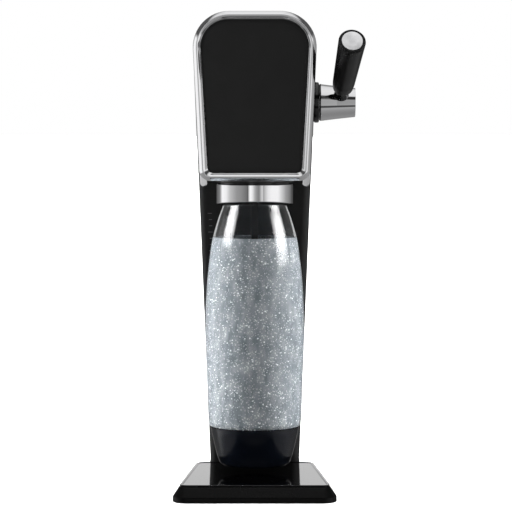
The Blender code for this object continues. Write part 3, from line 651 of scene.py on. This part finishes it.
def arch(half, bottom, top, inset=0.0):
    """An inverted U outline of (x, z) points, up its left side and down its right."""
    corners = [
        (-half(bottom) + inset, bottom, 0),
        (-half(top) + inset, top - inset, HEAD_CORNER - inset),
        (half(top) - inset, top - inset, HEAD_CORNER - inset),
        (half(bottom) - inset, bottom, 0),
    ]
    return rounded_path(corners, closed=False, arc=20)


def bezel_outline(inset, y):
    top = HEAD_Z[1]
    low_corner = max(BEZEL_BOTTOM_CORNER - inset, 4.0)
    corners = [
        (-front_half(BEZEL_BOTTOM) + inset, BEZEL_BOTTOM + inset, low_corner),
        (-front_half(top) + inset, top - inset, HEAD_CORNER - inset),
        (front_half(top) - inset, top - inset, HEAD_CORNER - inset),
        (front_half(BEZEL_BOTTOM) - inset, BEZEL_BOTTOM + inset, low_corner),
    ]
    return [(u, y, v) for u, v in rounded_path(corners, arc=16)]


# ---- machine


def make_base():
    sections = [base_outline(0, z, inset) for inset, z in BASE_RIM]
    sections += [base_outline(inset, z) for inset, z in BASE_SECTION]
    piece("base", loft(sections, end_cap=True), "base", ["base_housing"], wall=THIN_WALL)
    plate = [(u, v) for u, v, _ in base_outline(0, 0, BASE_PLATE_GAP)]
    piece("base_plate_skin", slab(plate, "z", *BASE_PLATE_Z, edge=0.3), "grey", ["base_plate"])
    for place in ("front_left", "front_right", "rear_left", "rear_right"):
        foot = turned([
            (0, 2.4, 0), (9, 2.4, 0.3), (8.5, 0, 0.6), (5.5, 0, 0.2), (5.0, 0.5, 0.2), (0, 0.5, 0),
        ], 64)
        piece("foot_pad_" + place, foot, "rubber", ["foot_" + place], middle("foot_" + place))
    for i in range(1, 5):
        name = f"base_screw_{i}"
        screw = turned([
            (0, 10.6, 0), (1.5, 10.6, 0.2), (1.5, 2.4, 0), (3, 2.4, 0.1), (2.8, 1.2, 0.3), (0, 1.2, 0),
        ], 32)
        cross = block((-1.6, -0.3, 1.15), (1.6, 0.3, 1.19), 0.01)
        piece(name + "_steel", merged(screw, cross), "steel", [name], middle(name))


def middle(node):
    """The point on the counter below a node's middle, in the machine's frame."""
    low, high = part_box(node)
    centre = ((low + high) / 2 - ORIGIN) / MM
    return (centre.x, centre.y, 0)


def make_tower():
    sections = []
    for k in range(13):
        z = TOWER_Z[0] + (TOWER_Z[1] - TOWER_Z[0]) * k / 12
        half = tower_half(z)
        corners = [
            (-half, TOWER_REAR, 0), (-half, TOWER_FRONT, TOWER_CORNER),
            (half, TOWER_FRONT, TOWER_CORNER), (half, TOWER_REAR, 0),
        ]
        sections.append([(u, v, z) for u, v in rounded_path(corners, closed=False, arc=12)])
    piece("tower", loft(sections, closed=False), "satin", ["tower_shell"], wall=SHELL_WALL)
    marks = []
    for k in range(14):
        z = MARK_TOP_Z - MARK_STEP * k
        x = -tower_half(z) + MARK_INSET
        width = MARK_WIDTHS[k % 3]
        marks.append(block((x - width, TOWER_FRONT - 0.12, z), (x, TOWER_FRONT + 0.3, z + 0.5), 0.08))
    piece("level_marks", merged(*marks), "mark", body="machine")


def make_head():
    front = arch(front_half, *HEAD_Z)
    rear = arch(tower_half, *HEAD_Z)
    sections = []
    for k in range(9):
        t = k / 8
        y = HEAD_Y[0] + (HEAD_Y[1] - HEAD_Y[0]) * t
        sections.append([(a.x + (b.x - a.x) * t, y, a.y + (b.y - a.y) * t) for a, b in zip(front, rear)])
    sections += [[(u, y, v) for u, v in rear] for y in (75.0, 94.0, HEAD_Y[2])]
    shell = piece("head", loft(sections, closed=False), "satin", ["head_shell"], even=False)
    cutter = turned([(0, 40, 0), (BUSHING_HOLE, 40, 0), (BUSHING_HOLE, 0, 0), (0, 0, 0)])
    cutter = piece("bushing_hole", cutter, "satin", (), (30, *LEVER_AXIS), X_AXIS, body="machine")
    pierce(shell, cutter, SHELL_WALL)

    outer = arch(front_half, SURROUND_BOTTOM, HEAD_Z[1])
    inner = arch(front_half, SURROUND_BOTTOM, HEAD_Z[1], SURROUND_WIDTH)
    right_end = half_round(outer[-1], inner[-1])
    outline = outer + right_end + inner[::-1] + half_round(inner[0], outer[0])
    piece("surround", slab(outline, "y", *SURROUND_Y, edge=0.9), "chrome", ["head_surround"])

    path = [
        (0.0, -46.0), (0.0, -53.0), (0.1, -53.5), (0.35, -54.0), (1.2, -55.35), (2.1, -56.65), (2.75, -57.45),
        (3.15, -57.8), (3.6, -57.97), (4.05, -57.9), (4.5, -57.6), (5.3, -56.85), (6.3, -55.8), (6.9, -55.15),
        (7.3, -54.9), (7.3, -46.0),
    ]
    piece("bezel", loft([bezel_outline(*p) for p in path], ring=True), "chrome", ["front_bezel"])

    inset = BEZEL_WIDTH + PANEL_GAP
    path = [(inset, -52.5), (inset, -54.9), (inset + 0.2, -55.25), (inset + 0.7, PANEL_FACE_Y)]
    sections = [bezel_outline(*p) for p in path]
    for t in (0.06, 0.2, 0.4, 0.6, 0.8, 0.97):
        y = PANEL_FACE_Y - PANEL_CROWN * sin(t * pi / 2)
        rest = 1 - t
        sections.append([(u * rest, y, PANEL_MID_Z + (v - PANEL_MID_Z) * rest) for u, _, v in sections[3]])
    piece("panel", loft(sections, caps=True), "panel", ["front_panel"], sharp=60, even=False)

    low = FLOOR_Z[0]
    front_corner = front_half(low) - 0.3
    rear_corner = tower_half(low) - 0.3
    corners = [
        (-rear_corner, 56.6, 0), (-front_corner, -29.4, 0), (-39, -29.4, 0), (-39, 45, 12), (39, 45, 12),
        (39, -29.4, 0), (front_corner, -29.4, 0), (rear_corner, 56.6, 0),
    ]
    floor = slab(rounded_path(corners), "z", *FLOOR_Z, edge=0.4)
    piece("floor_plate", floor, "satin", ["head_floor"])


def quarter(steps):
    return [pi / 2 * k / steps for k in range(1, steps + 1)]


def half_round(start, end):
    """Points of a half circle between two ends of a strip, bulging down."""
    centre = (start + end) / 2
    radius = (start - end).length / 2
    side = 1 if start.x > end.x else -1
    angles = [pi * k / 14 for k in range(1, 14)]
    return [centre + Vector((side * radius * cos(a), -radius * sin(a))) for a in angles]


def make_frame():
    outline = rounded_path([(-24, 283.3, 6), (108, 283.3, 6), (108, 398, 14), (-24, 398, 14)])
    holes = [(9.4, LEVER_AXIS), (PIN_HOLE, HOLDER_AXIS)]
    for side, name in ((-1, "left"), (1, "right")):
        inner, outer = (side * x for x in FRAME_X)
        plate = slab(outline, "x", inner, outer, holes, 0.3)
        piece("side_plate_" + name, plate, "steel", ["frame_plate_" + name])
        bearing = turned([
            (6.3, 5.9, 0.3), (9, 5.9, 0.5), (9, 2, 0), (11, 2, 0.4), (11, 0, 0.4), (6.3, 0, 0.3),
        ], 64)
        at = (side * 40.3, *LEVER_AXIS)
        piece("bearing_" + name, bearing, "brass", ["shaft_bearing_" + name], at, X_AXIS * side)
        pin = turned([(0, 46.3, 0), (3, 46.3, 0.5), (3, 26.5, 0.5), (0, 26.5, 0)], 48)
        at = (0, *HOLDER_AXIS)
        piece("pin_" + name, pin, "shaft", ["holder_pin_" + name], at, X_AXIS * side)
    for name, node, low, high, front, rear in (
        ("cross_bar", "cross_member", 330, 368, 45, 48), ("bracket", "valve_bracket", 336, 376, 72, 75.5),
    ):
        outline = rectangle(-CROSS_HALF, low, CROSS_HALF, high, 2)
        piece(name, slab(outline, "y", front, rear, [PLUNGER_HOLE], 0.3), "steel", [node])
    bushing = turned([
        (8.3, 11.4, 0.6), (13.6, 11.4, 0.3), (14.0, 10.7, 0.3), (15.0, 10.7, 0.3), (15.4, 11.4, 0.3),
        (18.4, 11.4, 1.3), (18.4, 7.6, 0.3), (17.7, 7.2, 0.2), (17.7, 6.2, 0.2), (18.4, 5.8, 0.3),
        (18.4, 2, 0.2), (21, 2, 0.4), (21, 0, 0.4), (8.3, 0, 0.4),
    ])
    piece("bushing", bushing, "gloss", ["lever_bushing"], (46.6, *LEVER_AXIS), X_AXIS)
    spring = coil(4.6, "x", HOLDER_AXIS, -41.4, -33.4, 6, 0.6, 10)
    piece("torsion_spring", spring, "spring", ["holder_spring"])
    spring = coil(8.5, "x", LEVER_AXIS, 14, 28, 7, 0.95, 12)
    piece("return_spring", spring, "spring", ["lever_spring"])


def make_gas_system():
    body = rectangle(-20, 338, 20, 378, 3)
    valve = slab(body, "y", 75.8, 107, edge=1.0)
    piece("valve_body", valve, "brass", ["valve_block"])
    spring = coil(5.8, "y", (0, PLUNGER_Z), 60.6, 71.0, 5, 0.7, 10)
    spring = piece("plunger_spring", spring, "spring", ["valve_spring"])
    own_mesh(spring)
    relief = turned([
        (0, 390, 0), (3, 390, 0.5), (3.4, 385, 0), (6.5, 385, 0.6), (6.5, 380, 0.6), (4, 380, 0),
        (4, 378.3, 0), (0, 378.3, 0),
    ], 48)
    piece("relief", relief, "brass", ["relief_valve"], (0, 92, 0))
    hose = tube(smooth_curve(HOSE_ROUTE, 8), 3.0, 20)
    hose = piece("hose", hose, "rubber", ["gas_hose"], even=False, body="")
    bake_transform(hose)

    centre = (0, CYLINDER_Y, 0)
    outside = rounded_path([
        (5, 300, 0.3), (8.5, 300, 0.5), (8.5, 291, 3), (22, 279, 16), (CYLINDER_RADIUS, 262, 14),
        (CYLINDER_RADIUS, 17.3, 0),
    ], closed=False, arc=8)
    inside = rounded_path([
        (0, 20.3, 0), (27, 20.3, 4), (27, 261, 8), (19.6, 276, 8), (5, 288, 2),
    ], closed=False, arc=6)
    profile = [(p.x, p.y) for p in outside + [Vector((0, 17.3))] + inside]
    piece("cylinder", revolve(profile, closed=True), "aluminium", ["co2_cylinder"], centre)
    stem = turned([
        (0, 337, 0), (6, 337, 0.6), (6, 324, 0), (10, 323, 0.8), (10, 312, 0.3), (9.2, 311.4, 0.2),
        (9.2, 309, 0.2), (10, 308.4, 0.3), (10, 300.3, 0.5), (4.7, 300.3, 0), (4.7, 291, 0.3), (0, 291, 0),
    ], 64)
    piece("cylinder_stem", stem, "brass", ["cylinder_valve"], centre)
    ring = turned([
        (10.7, 330, 0.4), (16, 330, 0.8), (18, 328, 0.8), (18, 304, 0.8), (16, 302, 0.8), (10.7, 302, 0.4),
    ])
    ribs = []
    for k in range(RIBS):
        rib = block((17.6, -0.7, 306), (18.35, 0.7, 326), 0.25)
        rib.transform(Matrix.Rotation(2 * pi * k / RIBS, 4, "Z"))
        ribs.append(rib)
    ring = merged(ring, *ribs)
    ring.transform(Matrix.Translation(centre))
    parts = [ring]
    for side in (-1, 1):
        pin = turned([(0, 26, 0), (4, 26, 0.6), (4, 15, 0), (0, 15, 0)], 40)
        pin.transform(Matrix.Translation((0, CYLINDER_Y, HANDLE_Z)) @ Matrix.Rotation(side * pi / 2, 4, "Y"))
        parts.append(pin)
    piece("quick_connect", merged(*parts), "pink", ["cylinder_adapter"])

    arc = [radians(170 + 200 * k / 48) for k in range(49)]
    inner, outer = ([polar(radius, a, (0, CYLINDER_Y)) for a in arc] for radius in CRADLE_RADII)
    clip = slab(outer + inner[::-1], "z", 112, 128, edge=0.5)
    piece("cradle", merged(clip, block((-14, 59.8, 114), (14, 64.2, 126), 0.8)), "satin", ["cylinder_cradle"])
    seat = turned([
        (0, 17, 0), (30.5, 17, 0), (30.5, 26, 0.8), (32.6, 26, 0.8), (32.6, 14.2, 0.3), (0, 14.2, 0),
    ])
    piece("seat", seat, "satin", ["cylinder_seat"], centre)


# ---- moving bodies


def make_lever():
    on_axis = (0, *LEVER_AXIS)
    shaft = turned([
        (0, 79, 0), (6, 79, 0.6), (6, -46.6, 0), (5, -46.6, 0), (5, -48.2, 0), (6, -48.2, 0),
        (6, -49.7, 0.5), (0, -49.7, 0),
    ], 64)
    piece("shaft", shaft, "shaft", ["lever_shaft"], on_axis, X_AXIS)
    clip = turned([(5.3, 1, 0.1), (8.2, 1, 0.2), (8.2, 0, 0.2), (5.3, 0, 0.1)], 48)
    piece("circlip", clip, "spring", ["shaft_circlip"], (-47.9, *LEVER_AXIS), X_AXIS)

    length = HUB_X[1] - HUB_X[0]
    hub = turned([
        (0, length - 1.3, 0), (10.5, length - 1.3, 0.1), (10.5, length - 0.1, 0.4), (13.25, length, 0.1),
        (15.1, 15.5, 60), (16.85, 1.2, 1.0), (16.2, 0, 0.5), (6.3, 0, 0), (6.3, 21.7, 0), (0, 21.7, 0),
    ], 128, 8)
    piece("hub", hub, "chrome", ["lever_hub"], (HUB_X[0], *LEVER_AXIS), X_AXIS)
    cap = turned([(0, 1.4, 0), (6, 1.3, 8), (10.2, 0.5, 0.3), (10.2, 0, 0), (0, 0, 0)])
    piece("hub_disc", cap, "silver", ["hub_cap"], (HUB_X[1] - 1.0, *LEVER_AXIS), X_AXIS)

    aim = (GRIP_END - HUB_POINT).normalized()
    reach = (GRIP_END - HUB_POINT).length
    bar = turned([(0, 104, 0), (4, 104, 0.4), (4, 7.5, 0.4), (0, 7.5, 0)], 40)
    piece("rod", bar, "shaft", ["lever_rod"], HUB_POINT, aim)
    collar = turned([
        (4.3, 24.9, 0.2), (5.2, 24.9, 0.3), (5.6, 20.0, 3.0), (6.9, 14.2, 0.6), (4.3, 14.2, 0.2),
    ], 64)
    piece("ferrule", collar, "gloss", ["grip_ferrule"], HUB_POINT, aim)
    grip = turned([
        (0, reach - 1.2, 0), (9.7, reach - 1.2, 0.1), (9.75, reach - 0.1, 0.3), (10.7, reach, 0.5),
        (11.9, reach - 1.6, 1.8), (10.9, 75, 400), (9.9, 38, 22), (9.1, 28.6, 4), (5.8, 25.2, 1.5),
        (4.3, 25.2, 0.2), (4.3, reach - 6, 0), (0, reach - 6, 0),
    ], 128, 8)
    piece("grip", grip, "grip", ["lever_grip"], HUB_POINT, aim)
    cap = turned([
        (0, reach + 0.3, 0), (5.5, reach + 0.22, 20), (9.2, reach - 0.1, 0.3), (9.2, reach - 0.8, 0),
        (0, reach - 0.8, 0),
    ])
    piece("grip_disc", cap, "silver", ["grip_end_cap"], HUB_POINT, aim)

    outline = [polar(cam_radius(degrees), -radians(degrees), LEVER_AXIS) for degrees in range(0, 360, 3)]
    cam = slab(outline, "x", -5, 5, [(6.3, LEVER_AXIS)], 0.4)
    piece("cam", cam, "steel", ["lever_cam"])


def cam_radius(degrees):
    """The cam's radius at an angle that comes round to the plunger as the lever is pulled."""
    if degrees <= CAM_LIFT_DEGREES:
        return CAM_RADIUS + CAM_LIFT_PER_RADIAN * radians(degrees)
    top = CAM_LIFT_PER_RADIAN * radians(CAM_LIFT_DEGREES)
    fade = min((degrees - CAM_LIFT_DEGREES) / (CAM_DROP_DEGREES - CAM_LIFT_DEGREES), 1)
    return CAM_RADIUS + top * (1 + cos(pi * fade)) / 2


def make_plunger():
    stem = turned([
        (0, 67.4, 0), (4, 67.4, 0.5), (4, 34.9, 0), (7.5, 34.9, 0.4), (7.5, 32.4, 0.4), (4, 32.4, 0),
        (4, 3, 2.6), (0, 0, 0),
    ], 48)
    piece("plunger", stem, "shaft", ["valve_plunger"], (0, PLUNGER_TIP_Y, PLUNGER_Z), Y_AXIS)


def make_holder():
    def loop(radius, z=None, lift=0.0):
        return [(x, y, RING_BOTTOM - RING_SLOPE * y + lift if z is None else z) for x, y in circle(radius)]

    inner = RING_RADIUS - 3.0
    sections = [loop(inner, lift=0.4), loop(inner + 0.4), loop(RING_RADIUS - 0.8)]
    sections += [loop(RING_RADIUS - 0.8 + 0.8 * sin(a), lift=0.8 - 0.8 * cos(a)) for a in quarter(4)]
    sections += [
        loop(RING_RADIUS - 0.9 + 0.9 * cos(a), RING_TOP - 0.9 + 0.9 * sin(a)) for a in [0] + quarter(5)
    ]
    sections += [loop(inner, RING_TOP)]
    piece("ring", loft(sections, ring=True), "chrome", ["holder_ring"], sharp=50)
    # Painted shade: a thin dark sheet inside the ring, so the bottle's shoulder shows no bright refracted
    # light there.
    outer = inner - 0.02
    inner = outer - SHADE_LINER_WALL
    sections = [loop(outer, SHADE_LINER_TOP), loop(outer, lift=0.5), loop(inner, lift=0.5), loop(inner, SHADE_LINER_TOP)]
    piece("ring_shade_liner", loft(sections, ring=True), "satin", body="bottle_holder")
    collar = turned([
        (20.2, 279.8, 0.3), (33.4, 279.8, 0.6), (34.2, 279.0, 0.5), (34.2, 277.3, 0.4), (31, 277.3, 0.4),
        (31, 264, 0.6), (28.9, 262.5, 0.4), (28, 265, 1), (25.5, 269.5, 2), (21.5, 273.5, 2), (20.2, 276, 1),
    ])
    piece("collar", collar, "gloss", ["holder_collar"])
    outline = rounded_path([(0, 280.1, 0), (16, 280.1, 0), (16, 308, 7.9), (0, 308, 7.9)])
    for side, name in ((-1, "left"), (1, "right")):
        arm = slab(outline, "x", side * 28, side * 32, [(PIN_HOLE, HOLDER_AXIS)], 0.4)
        piece("arm_" + name, arm, "grey", ["holder_arm_" + name])
    nozzle = turned([
        (0, 306, 0), (4.5, 306, 0.4), (4.5, 303.5, 0.2), (3.6, 303, 0.2), (3.6, 301.5, 0.2), (4.5, 301, 0.2),
        (4.5, 298, 0.5), (19.6, 298, 1.0), (19.6, 295, 0.4), (27.6, 295, 0.6), (27.6, 291, 0.6),
        (19.6, 291, 0.4), (19.6, 289, 0.5), (0, 289, 0),
    ])
    piece("nozzle", nozzle, "grey", ["nozzle_block"])
    seal = turned([(10, 288.7, 0.5), (17.5, 288.7, 0.8), (17.5, 286.3, 0.8), (10, 286.3, 0.5)], 64)
    piece("seal", seal, "rubber", ["nozzle_seal"])
    straw = turned([(0, 288.7, 0), (3, 288.7, 0.2), (3, 194, 0), (1.6, 188, 0.4), (0, 188, 0)], 40)
    piece("straw", straw, "straw", ["carbonation_tube"])


def pushed_in(side, wall):
    """A side moved in by the wall's thickness, square to itself."""
    points = []
    for i, point in enumerate(side):
        along = (side[min(i + 1, len(side) - 1)] - side[max(i - 1, 0)]).normalized()
        points.append(Vector((point.x + along.y * wall, point.y - along.x * wall)))
    return points


def make_bottle():
    side = smooth_curve(BOTTLE_SIDE, 5)
    neck = rounded_path([
        (13.6, 286, 0.4), (17, 286, 0.6), (17, 284.9, 0.2), (17.7, 284.5, 0.2), (17.7, 283.6, 0.2),
        (17, 283.2, 0.2), (17, 281.8, 0.3), (18.8, 281.5, 0.4), (18.8, 279.5, 0.4), (17, 279.2, 0.3),
        (17, 275.5, 0),
    ], closed=False, arc=3)
    base = rounded_path([
        (41.0, 57.7, 0.3), (37.2, 57.3, 0.4), (35.5, 44, 30), (32, 31, 10), (26.5, 26.4, 4), (14, 26.2, 8),
        (0, 28, 0),
    ], closed=False, arc=5)
    inner = pushed_in(side[4:-2], BOTTLE_WALL)
    low = rounded_path([
        (39.6, 60.0, 1), (35.6, 55.5, 3), (34.0, 43.8, 30), (30.6, 31.6, 9), (26.0, 28.0, 4), (14, 27.8, 8),
        (0, 29.5, 0),
    ], closed=False, arc=5)
    inside = [Vector((13.6, 285.6)), Vector((13.6, 274.5))] + inner + low
    profile = neck[:-1] + side + base[1:] + list(reversed(inside))
    profile = [(max(p.x, 0.0), p.y) for p in profile]
    bottle = piece("bottle", revolve(profile, closed=True), "clear", ["bottle_body"], sharp=60, even=False)
    make_soft_boxes(bottle)

    wall = [p + Vector((WATER_OVERLAP, 0)) for p in inner + low if p.y < WATER_TOP - 0.8]
    rim = wall[0].x
    meniscus = ((0, -0.5), (rim - 3.0, -0.5), (rim - 1.0, -0.2), (rim - 0.1, 0.5))
    surface = [Vector((u, WATER_TOP + v)) for u, v in meniscus]
    profile = [(max(p.x, 0.0), p.y) for p in surface + wall[:-1]] + [(0, 29.4)]
    piece("water", revolve(profile), "water", sharp=60, even=False, body="bottle")

    cup = turned([
        (38.2, 57.2, 0.2), (39.3, 57.4, 0.4), (40.0, 56.6, 0.6), (39.0, 50.9, 60), (37.4, 43.6, 60),
        (35.7, 36.3, 50), (34.3, 30.8, 30), (31.9, 24.2, 2.2), (29.2, 21.9, 1.6), (24, 21.7, 1),
        (22, 22.6, 1), (0, 22.6, 0), (0, 24.6, 0), (28, 24.6, 2), (33.1, 31, 8), (36.4, 44, 20),
    ], 128, 5)
    piece("cup", cup, "cup", ["bottle_cup"], sharp=50)
    make_bubbles(inner + low)


def make_bubbles(wall):
    """Bubbles scattered in the water, most of them at the wall."""
    chance = random.Random(11)
    heights = sorted((p.y, p.x) for p in wall)

    def reach(z):
        above = next((i for i, (height, _) in enumerate(heights) if height > z), len(heights) - 1)
        (z0, r0), (z1, r1) = heights[max(above - 1, 0)], heights[above]
        return r0 + (r1 - r0) * ((z - z0) / (z1 - z0) if z1 > z0 else 0)

    whole = bmesh.new()
    for _ in range(BUBBLES):
        z = BUBBLES_FROM + BUBBLES_RISE * chance.random()
        size = SMALLEST_BUBBLE + BUBBLE_GROWTH * chance.random() ** 3
        radius = reach(z) - 0.2 * size
        if chance.random() > ON_THE_WALL:
            radius = (radius - 1.5) * (1 - 0.5 * chance.random())
        angle = 2 * pi * chance.random()
        place = Matrix.Translation((radius * cos(angle), radius * sin(angle), z))
        stretch = Matrix.Diagonal((size, size, size * (0.75 + 0.2 * chance.random()), 1))
        bmesh.ops.create_icosphere(whole, subdivisions=1, radius=1.0, matrix=place @ stretch)
    piece("bubbles", whole, "bubble", sharp=90, even=False, body="bottle")


def make_tray():
    sections = [tray_outline(inset, BASE_TOP_Z + z) for inset, z in TRAY_SECTION]
    piece("tray", loft(sections, caps=True), "tray", ["drip_tray"], sharp=50)


def make_cover():
    loops = [[(u, y, v) for u, v in arch(tower_half, *COVER_Z, inset)] for y, inset in COVER_LOOPS]
    cover = piece("cover", loft(loops, closed=False, end_cap=True), "satin", ["rear_cover"])
    cutter = piece("button_hole", slab(oval(12.4, 5.4), "y", 135, 150), "satin", body="rear_cover")
    pierce(cover, cutter, THIN_WALL)
    parts = [slab(oval(12, 5), "y", 139.4, 146.8, edge=0.7), slab(oval(15, 8), "y", 139.2, 142.4, edge=0.4)]
    for z in (BUTTON_Z - 2.2, BUTTON_Z, BUTTON_Z + 2.2):
        parts.append(block((-7, 146.5, z - 0.35), (7, 147.0, z + 0.35), 0.15))
    piece("button", merged(*parts), "gloss", ["cover_button"])


def oval(width, height):
    """The button's outline, from its half width and half height."""
    return rectangle(-width, BUTTON_Z - height, width, BUTTON_Z + height, height * 0.98)


def make_lock_handle():
    outline = rectangle(-6, -6, 35, 6, 5.9)
    arms = [slab(outline, "x", side * 22.5, side * 25.5, [(4.3, (0, 0))], 0.5) for side in (-1, 1)]
    bar = turned([
        (0, 24, 0), (3, 24, 0), (3, 16, 0.5), (3.6, 14, 2), (3.6, -14, 2), (3, -16, 0.5), (3, -24, 0),
        (0, -24, 0),
    ], 40)
    bar.transform(Matrix.Translation((0, 30, 0)) @ Matrix.Rotation(pi / 2, 4, "Y"))
    turn = Matrix.Rotation(radians(HANDLE_REST_DEGREES), 3, "X")
    handle = merged(*arms, bar)
    piece("bail", handle, "grey", ["lock_handle"], (0, CYLINDER_Y, HANDLE_Z), turn=turn)


# ---- studio


def make_floor():
    bm = bmesh.new()
    bmesh.ops.create_grid(bm, x_segments=2, y_segments=2, size=60.0)
    floor = placed("floor", to_mesh("floor", bm))
    look, _, shader = new_material("pale_floor", "floor", (0.86, 0.86, 0.86), 0.7)
    feed(shader, Emission_Color=(1, 1, 1, 1), Emission_Strength=0.45)
    floor.data.materials.append(look)
    floor.visible_glossy = False
    floor.visible_diffuse = False
    floor.visible_transmission = False


def ramp_of(nodes, source, stops, half_range):
    """Levels of light by angle, in degrees from -half_range to half_range."""
    turn = spread(nodes, source, 0.0, 1.0, -radians(half_range), radians(half_range))
    ramp = feed(nodes.new("ShaderNodeValToRGB"), Fac=turn)
    elements = ramp.color_ramp.elements
    while len(elements) < len(stops):
        elements.new(0.5)
    for element, (degrees, level) in zip(elements, stops):
        element.position = degrees / (2 * half_range) + 0.5
        element.color = (level, level, level, 1)
    return ramp.outputs["Color"]


def maths(nodes, operation, *values):
    node = nodes.new("ShaderNodeMath")
    node.operation = operation
    for socket, value in zip(node.inputs, values):
        put(socket, value)
    return node.outputs["Value"]


def mixed(nodes, factor, first, second):
    node = nodes.new("ShaderNodeMix")
    node.data_type = "RGBA"
    for name, value in (("Factor", factor), ("A", first), ("B", second)):
        put(next(item for item in node.inputs if item.name == name and item.enabled), value)
    return next(item for item in node.outputs if item.enabled)


def make_world():
    """A studio of flats and gaps for polished metal to mirror, plain white where the camera sees it."""
    world = bpy.data.worlds.new("studio")
    bpy.context.scene.world = world
    world.use_nodes = True
    nodes = world.node_tree.nodes
    seen = nodes.new("ShaderNodeTexCoord").outputs["Generated"]
    split = feed(nodes.new("ShaderNodeSeparateXYZ"), Vector=seen)
    x, y, z = (split.outputs[name] for name in "XYZ")
    azimuth = maths(nodes, "ARCTAN2", x, maths(nodes, "MULTIPLY", y, -1.0))
    elevation = maths(nodes, "ARCSINE", z)

    def across(stops):
        return ramp_of(nodes, azimuth, stops, 180)

    def up(stops):
        return ramp_of(nodes, elevation, stops, 90)

    beside = mixed(nodes, across(IS_AHEAD), up(STUDIO_SIDES), up(STUDIO_AHEAD))
    room = mixed(nodes, up(AT_EYE_HEIGHT), beside, across(STUDIO_LEVEL))
    room = mixed(nodes, across(IS_BEHIND), room, up(STUDIO_BEHIND))
    path = nodes.new("ShaderNodeLightPath").outputs
    room = mixed(nodes, path["Is Transmission Ray"], room, across(THROUGH_GLASS))
    room = mixed(nodes, maths(nodes, "GREATER_THAN", path["Diffuse Depth"], 0.5), room, across(SIDE_LIGHTS))
    room = mixed(nodes, path["Is Camera Ray"], room, (1.0, 1.0, 1.0, 1.0))
    feed(nodes["Background"], Color=room)


def make_soft_boxes(bottle):
    """Tall white strips down the bottle's shoulders."""
    mirrors = bpy.data.collections.new("mirrors_soft_boxes")
    mirrors.objects.link(bottle)
    target = ORIGIN + Vector(SOFT_BOX_FROM) * MM
    for i, (azimuth, elevation, width, height, radiance) in enumerate(SOFT_BOXES):
        light = bpy.data.lights.new(f"soft_box_{i}", "AREA")
        light.shape = "RECTANGLE"
        light.size = width * MM
        light.size_y = height * MM
        light.energy = radiance * pi * width * MM * height * MM
        across, up = radians(azimuth), radians(elevation)
        away = Vector((sin(across) * cos(up), -cos(across) * cos(up), sin(up)))
        box = placed(light.name, light)
        box.location = target + away * SOFT_BOX_AWAY * MM
        box.rotation_euler = away.to_track_quat("Z", "Y").to_euler()
        box.visible_camera = False
        box.visible_transmission = False
        box.light_linking.receiver_collection = mirrors
        fade_to_edges(light)


def fade_to_edges(light):
    """Dims a soft box towards its edges."""
    light.use_nodes = True
    nodes = light.node_tree.nodes
    place = nodes.new("ShaderNodeNewGeometry").outputs["Parametric"]
    split = feed(nodes.new("ShaderNodeSeparateXYZ"), Vector=place)
    level = 1.0
    for across in (split.outputs["X"], split.outputs["Y"]):
        rest = maths(nodes, "SUBTRACT", 1.0, across)
        fade = maths(nodes, "MULTIPLY", maths(nodes, "MULTIPLY", across, rest), 4.0)
        level = maths(nodes, "MULTIPLY", level, fade)
    feed(nodes["Emission"], Strength=level)


def make_camera():
    data = bpy.data.cameras.new("camera")
    data.lens = CAMERA_LENS
    data.sensor_width = 36.0
    data.clip_end = 200.0
    camera = placed("camera", data)
    camera.location = ORIGIN + Vector(CAMERA_AT) * MM
    camera.rotation_euler = (radians(90 - CAMERA_PITCH), 0, 0)
    bpy.context.scene.camera = camera


def make_studio():
    make_floor()
    make_world()
    make_camera()
    bpy.context.scene.view_settings.view_transform = "Standard"


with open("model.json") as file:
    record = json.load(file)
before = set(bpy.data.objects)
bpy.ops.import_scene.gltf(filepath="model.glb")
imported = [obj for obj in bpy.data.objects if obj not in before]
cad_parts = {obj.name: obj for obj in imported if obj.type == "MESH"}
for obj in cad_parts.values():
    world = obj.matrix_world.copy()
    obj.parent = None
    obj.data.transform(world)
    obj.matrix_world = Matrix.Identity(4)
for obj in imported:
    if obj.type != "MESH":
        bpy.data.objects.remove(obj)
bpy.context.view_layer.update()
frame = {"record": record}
collar_low, collar_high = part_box("holder_collar")
ORIGIN = (collar_low + collar_high) / 2
ORIGIN.z = 0.0
BODIES = {node: body for body, nodes in frame["record"]["behaviour"]["bodies"].items() for node in nodes}
LOOK = make_looks()
make_studio()
make_base()
make_tower()
make_head()
make_frame()
make_gas_system()
make_lever()
make_plunger()
make_holder()
make_bottle()
make_tray()
make_cover()
make_lock_handle()
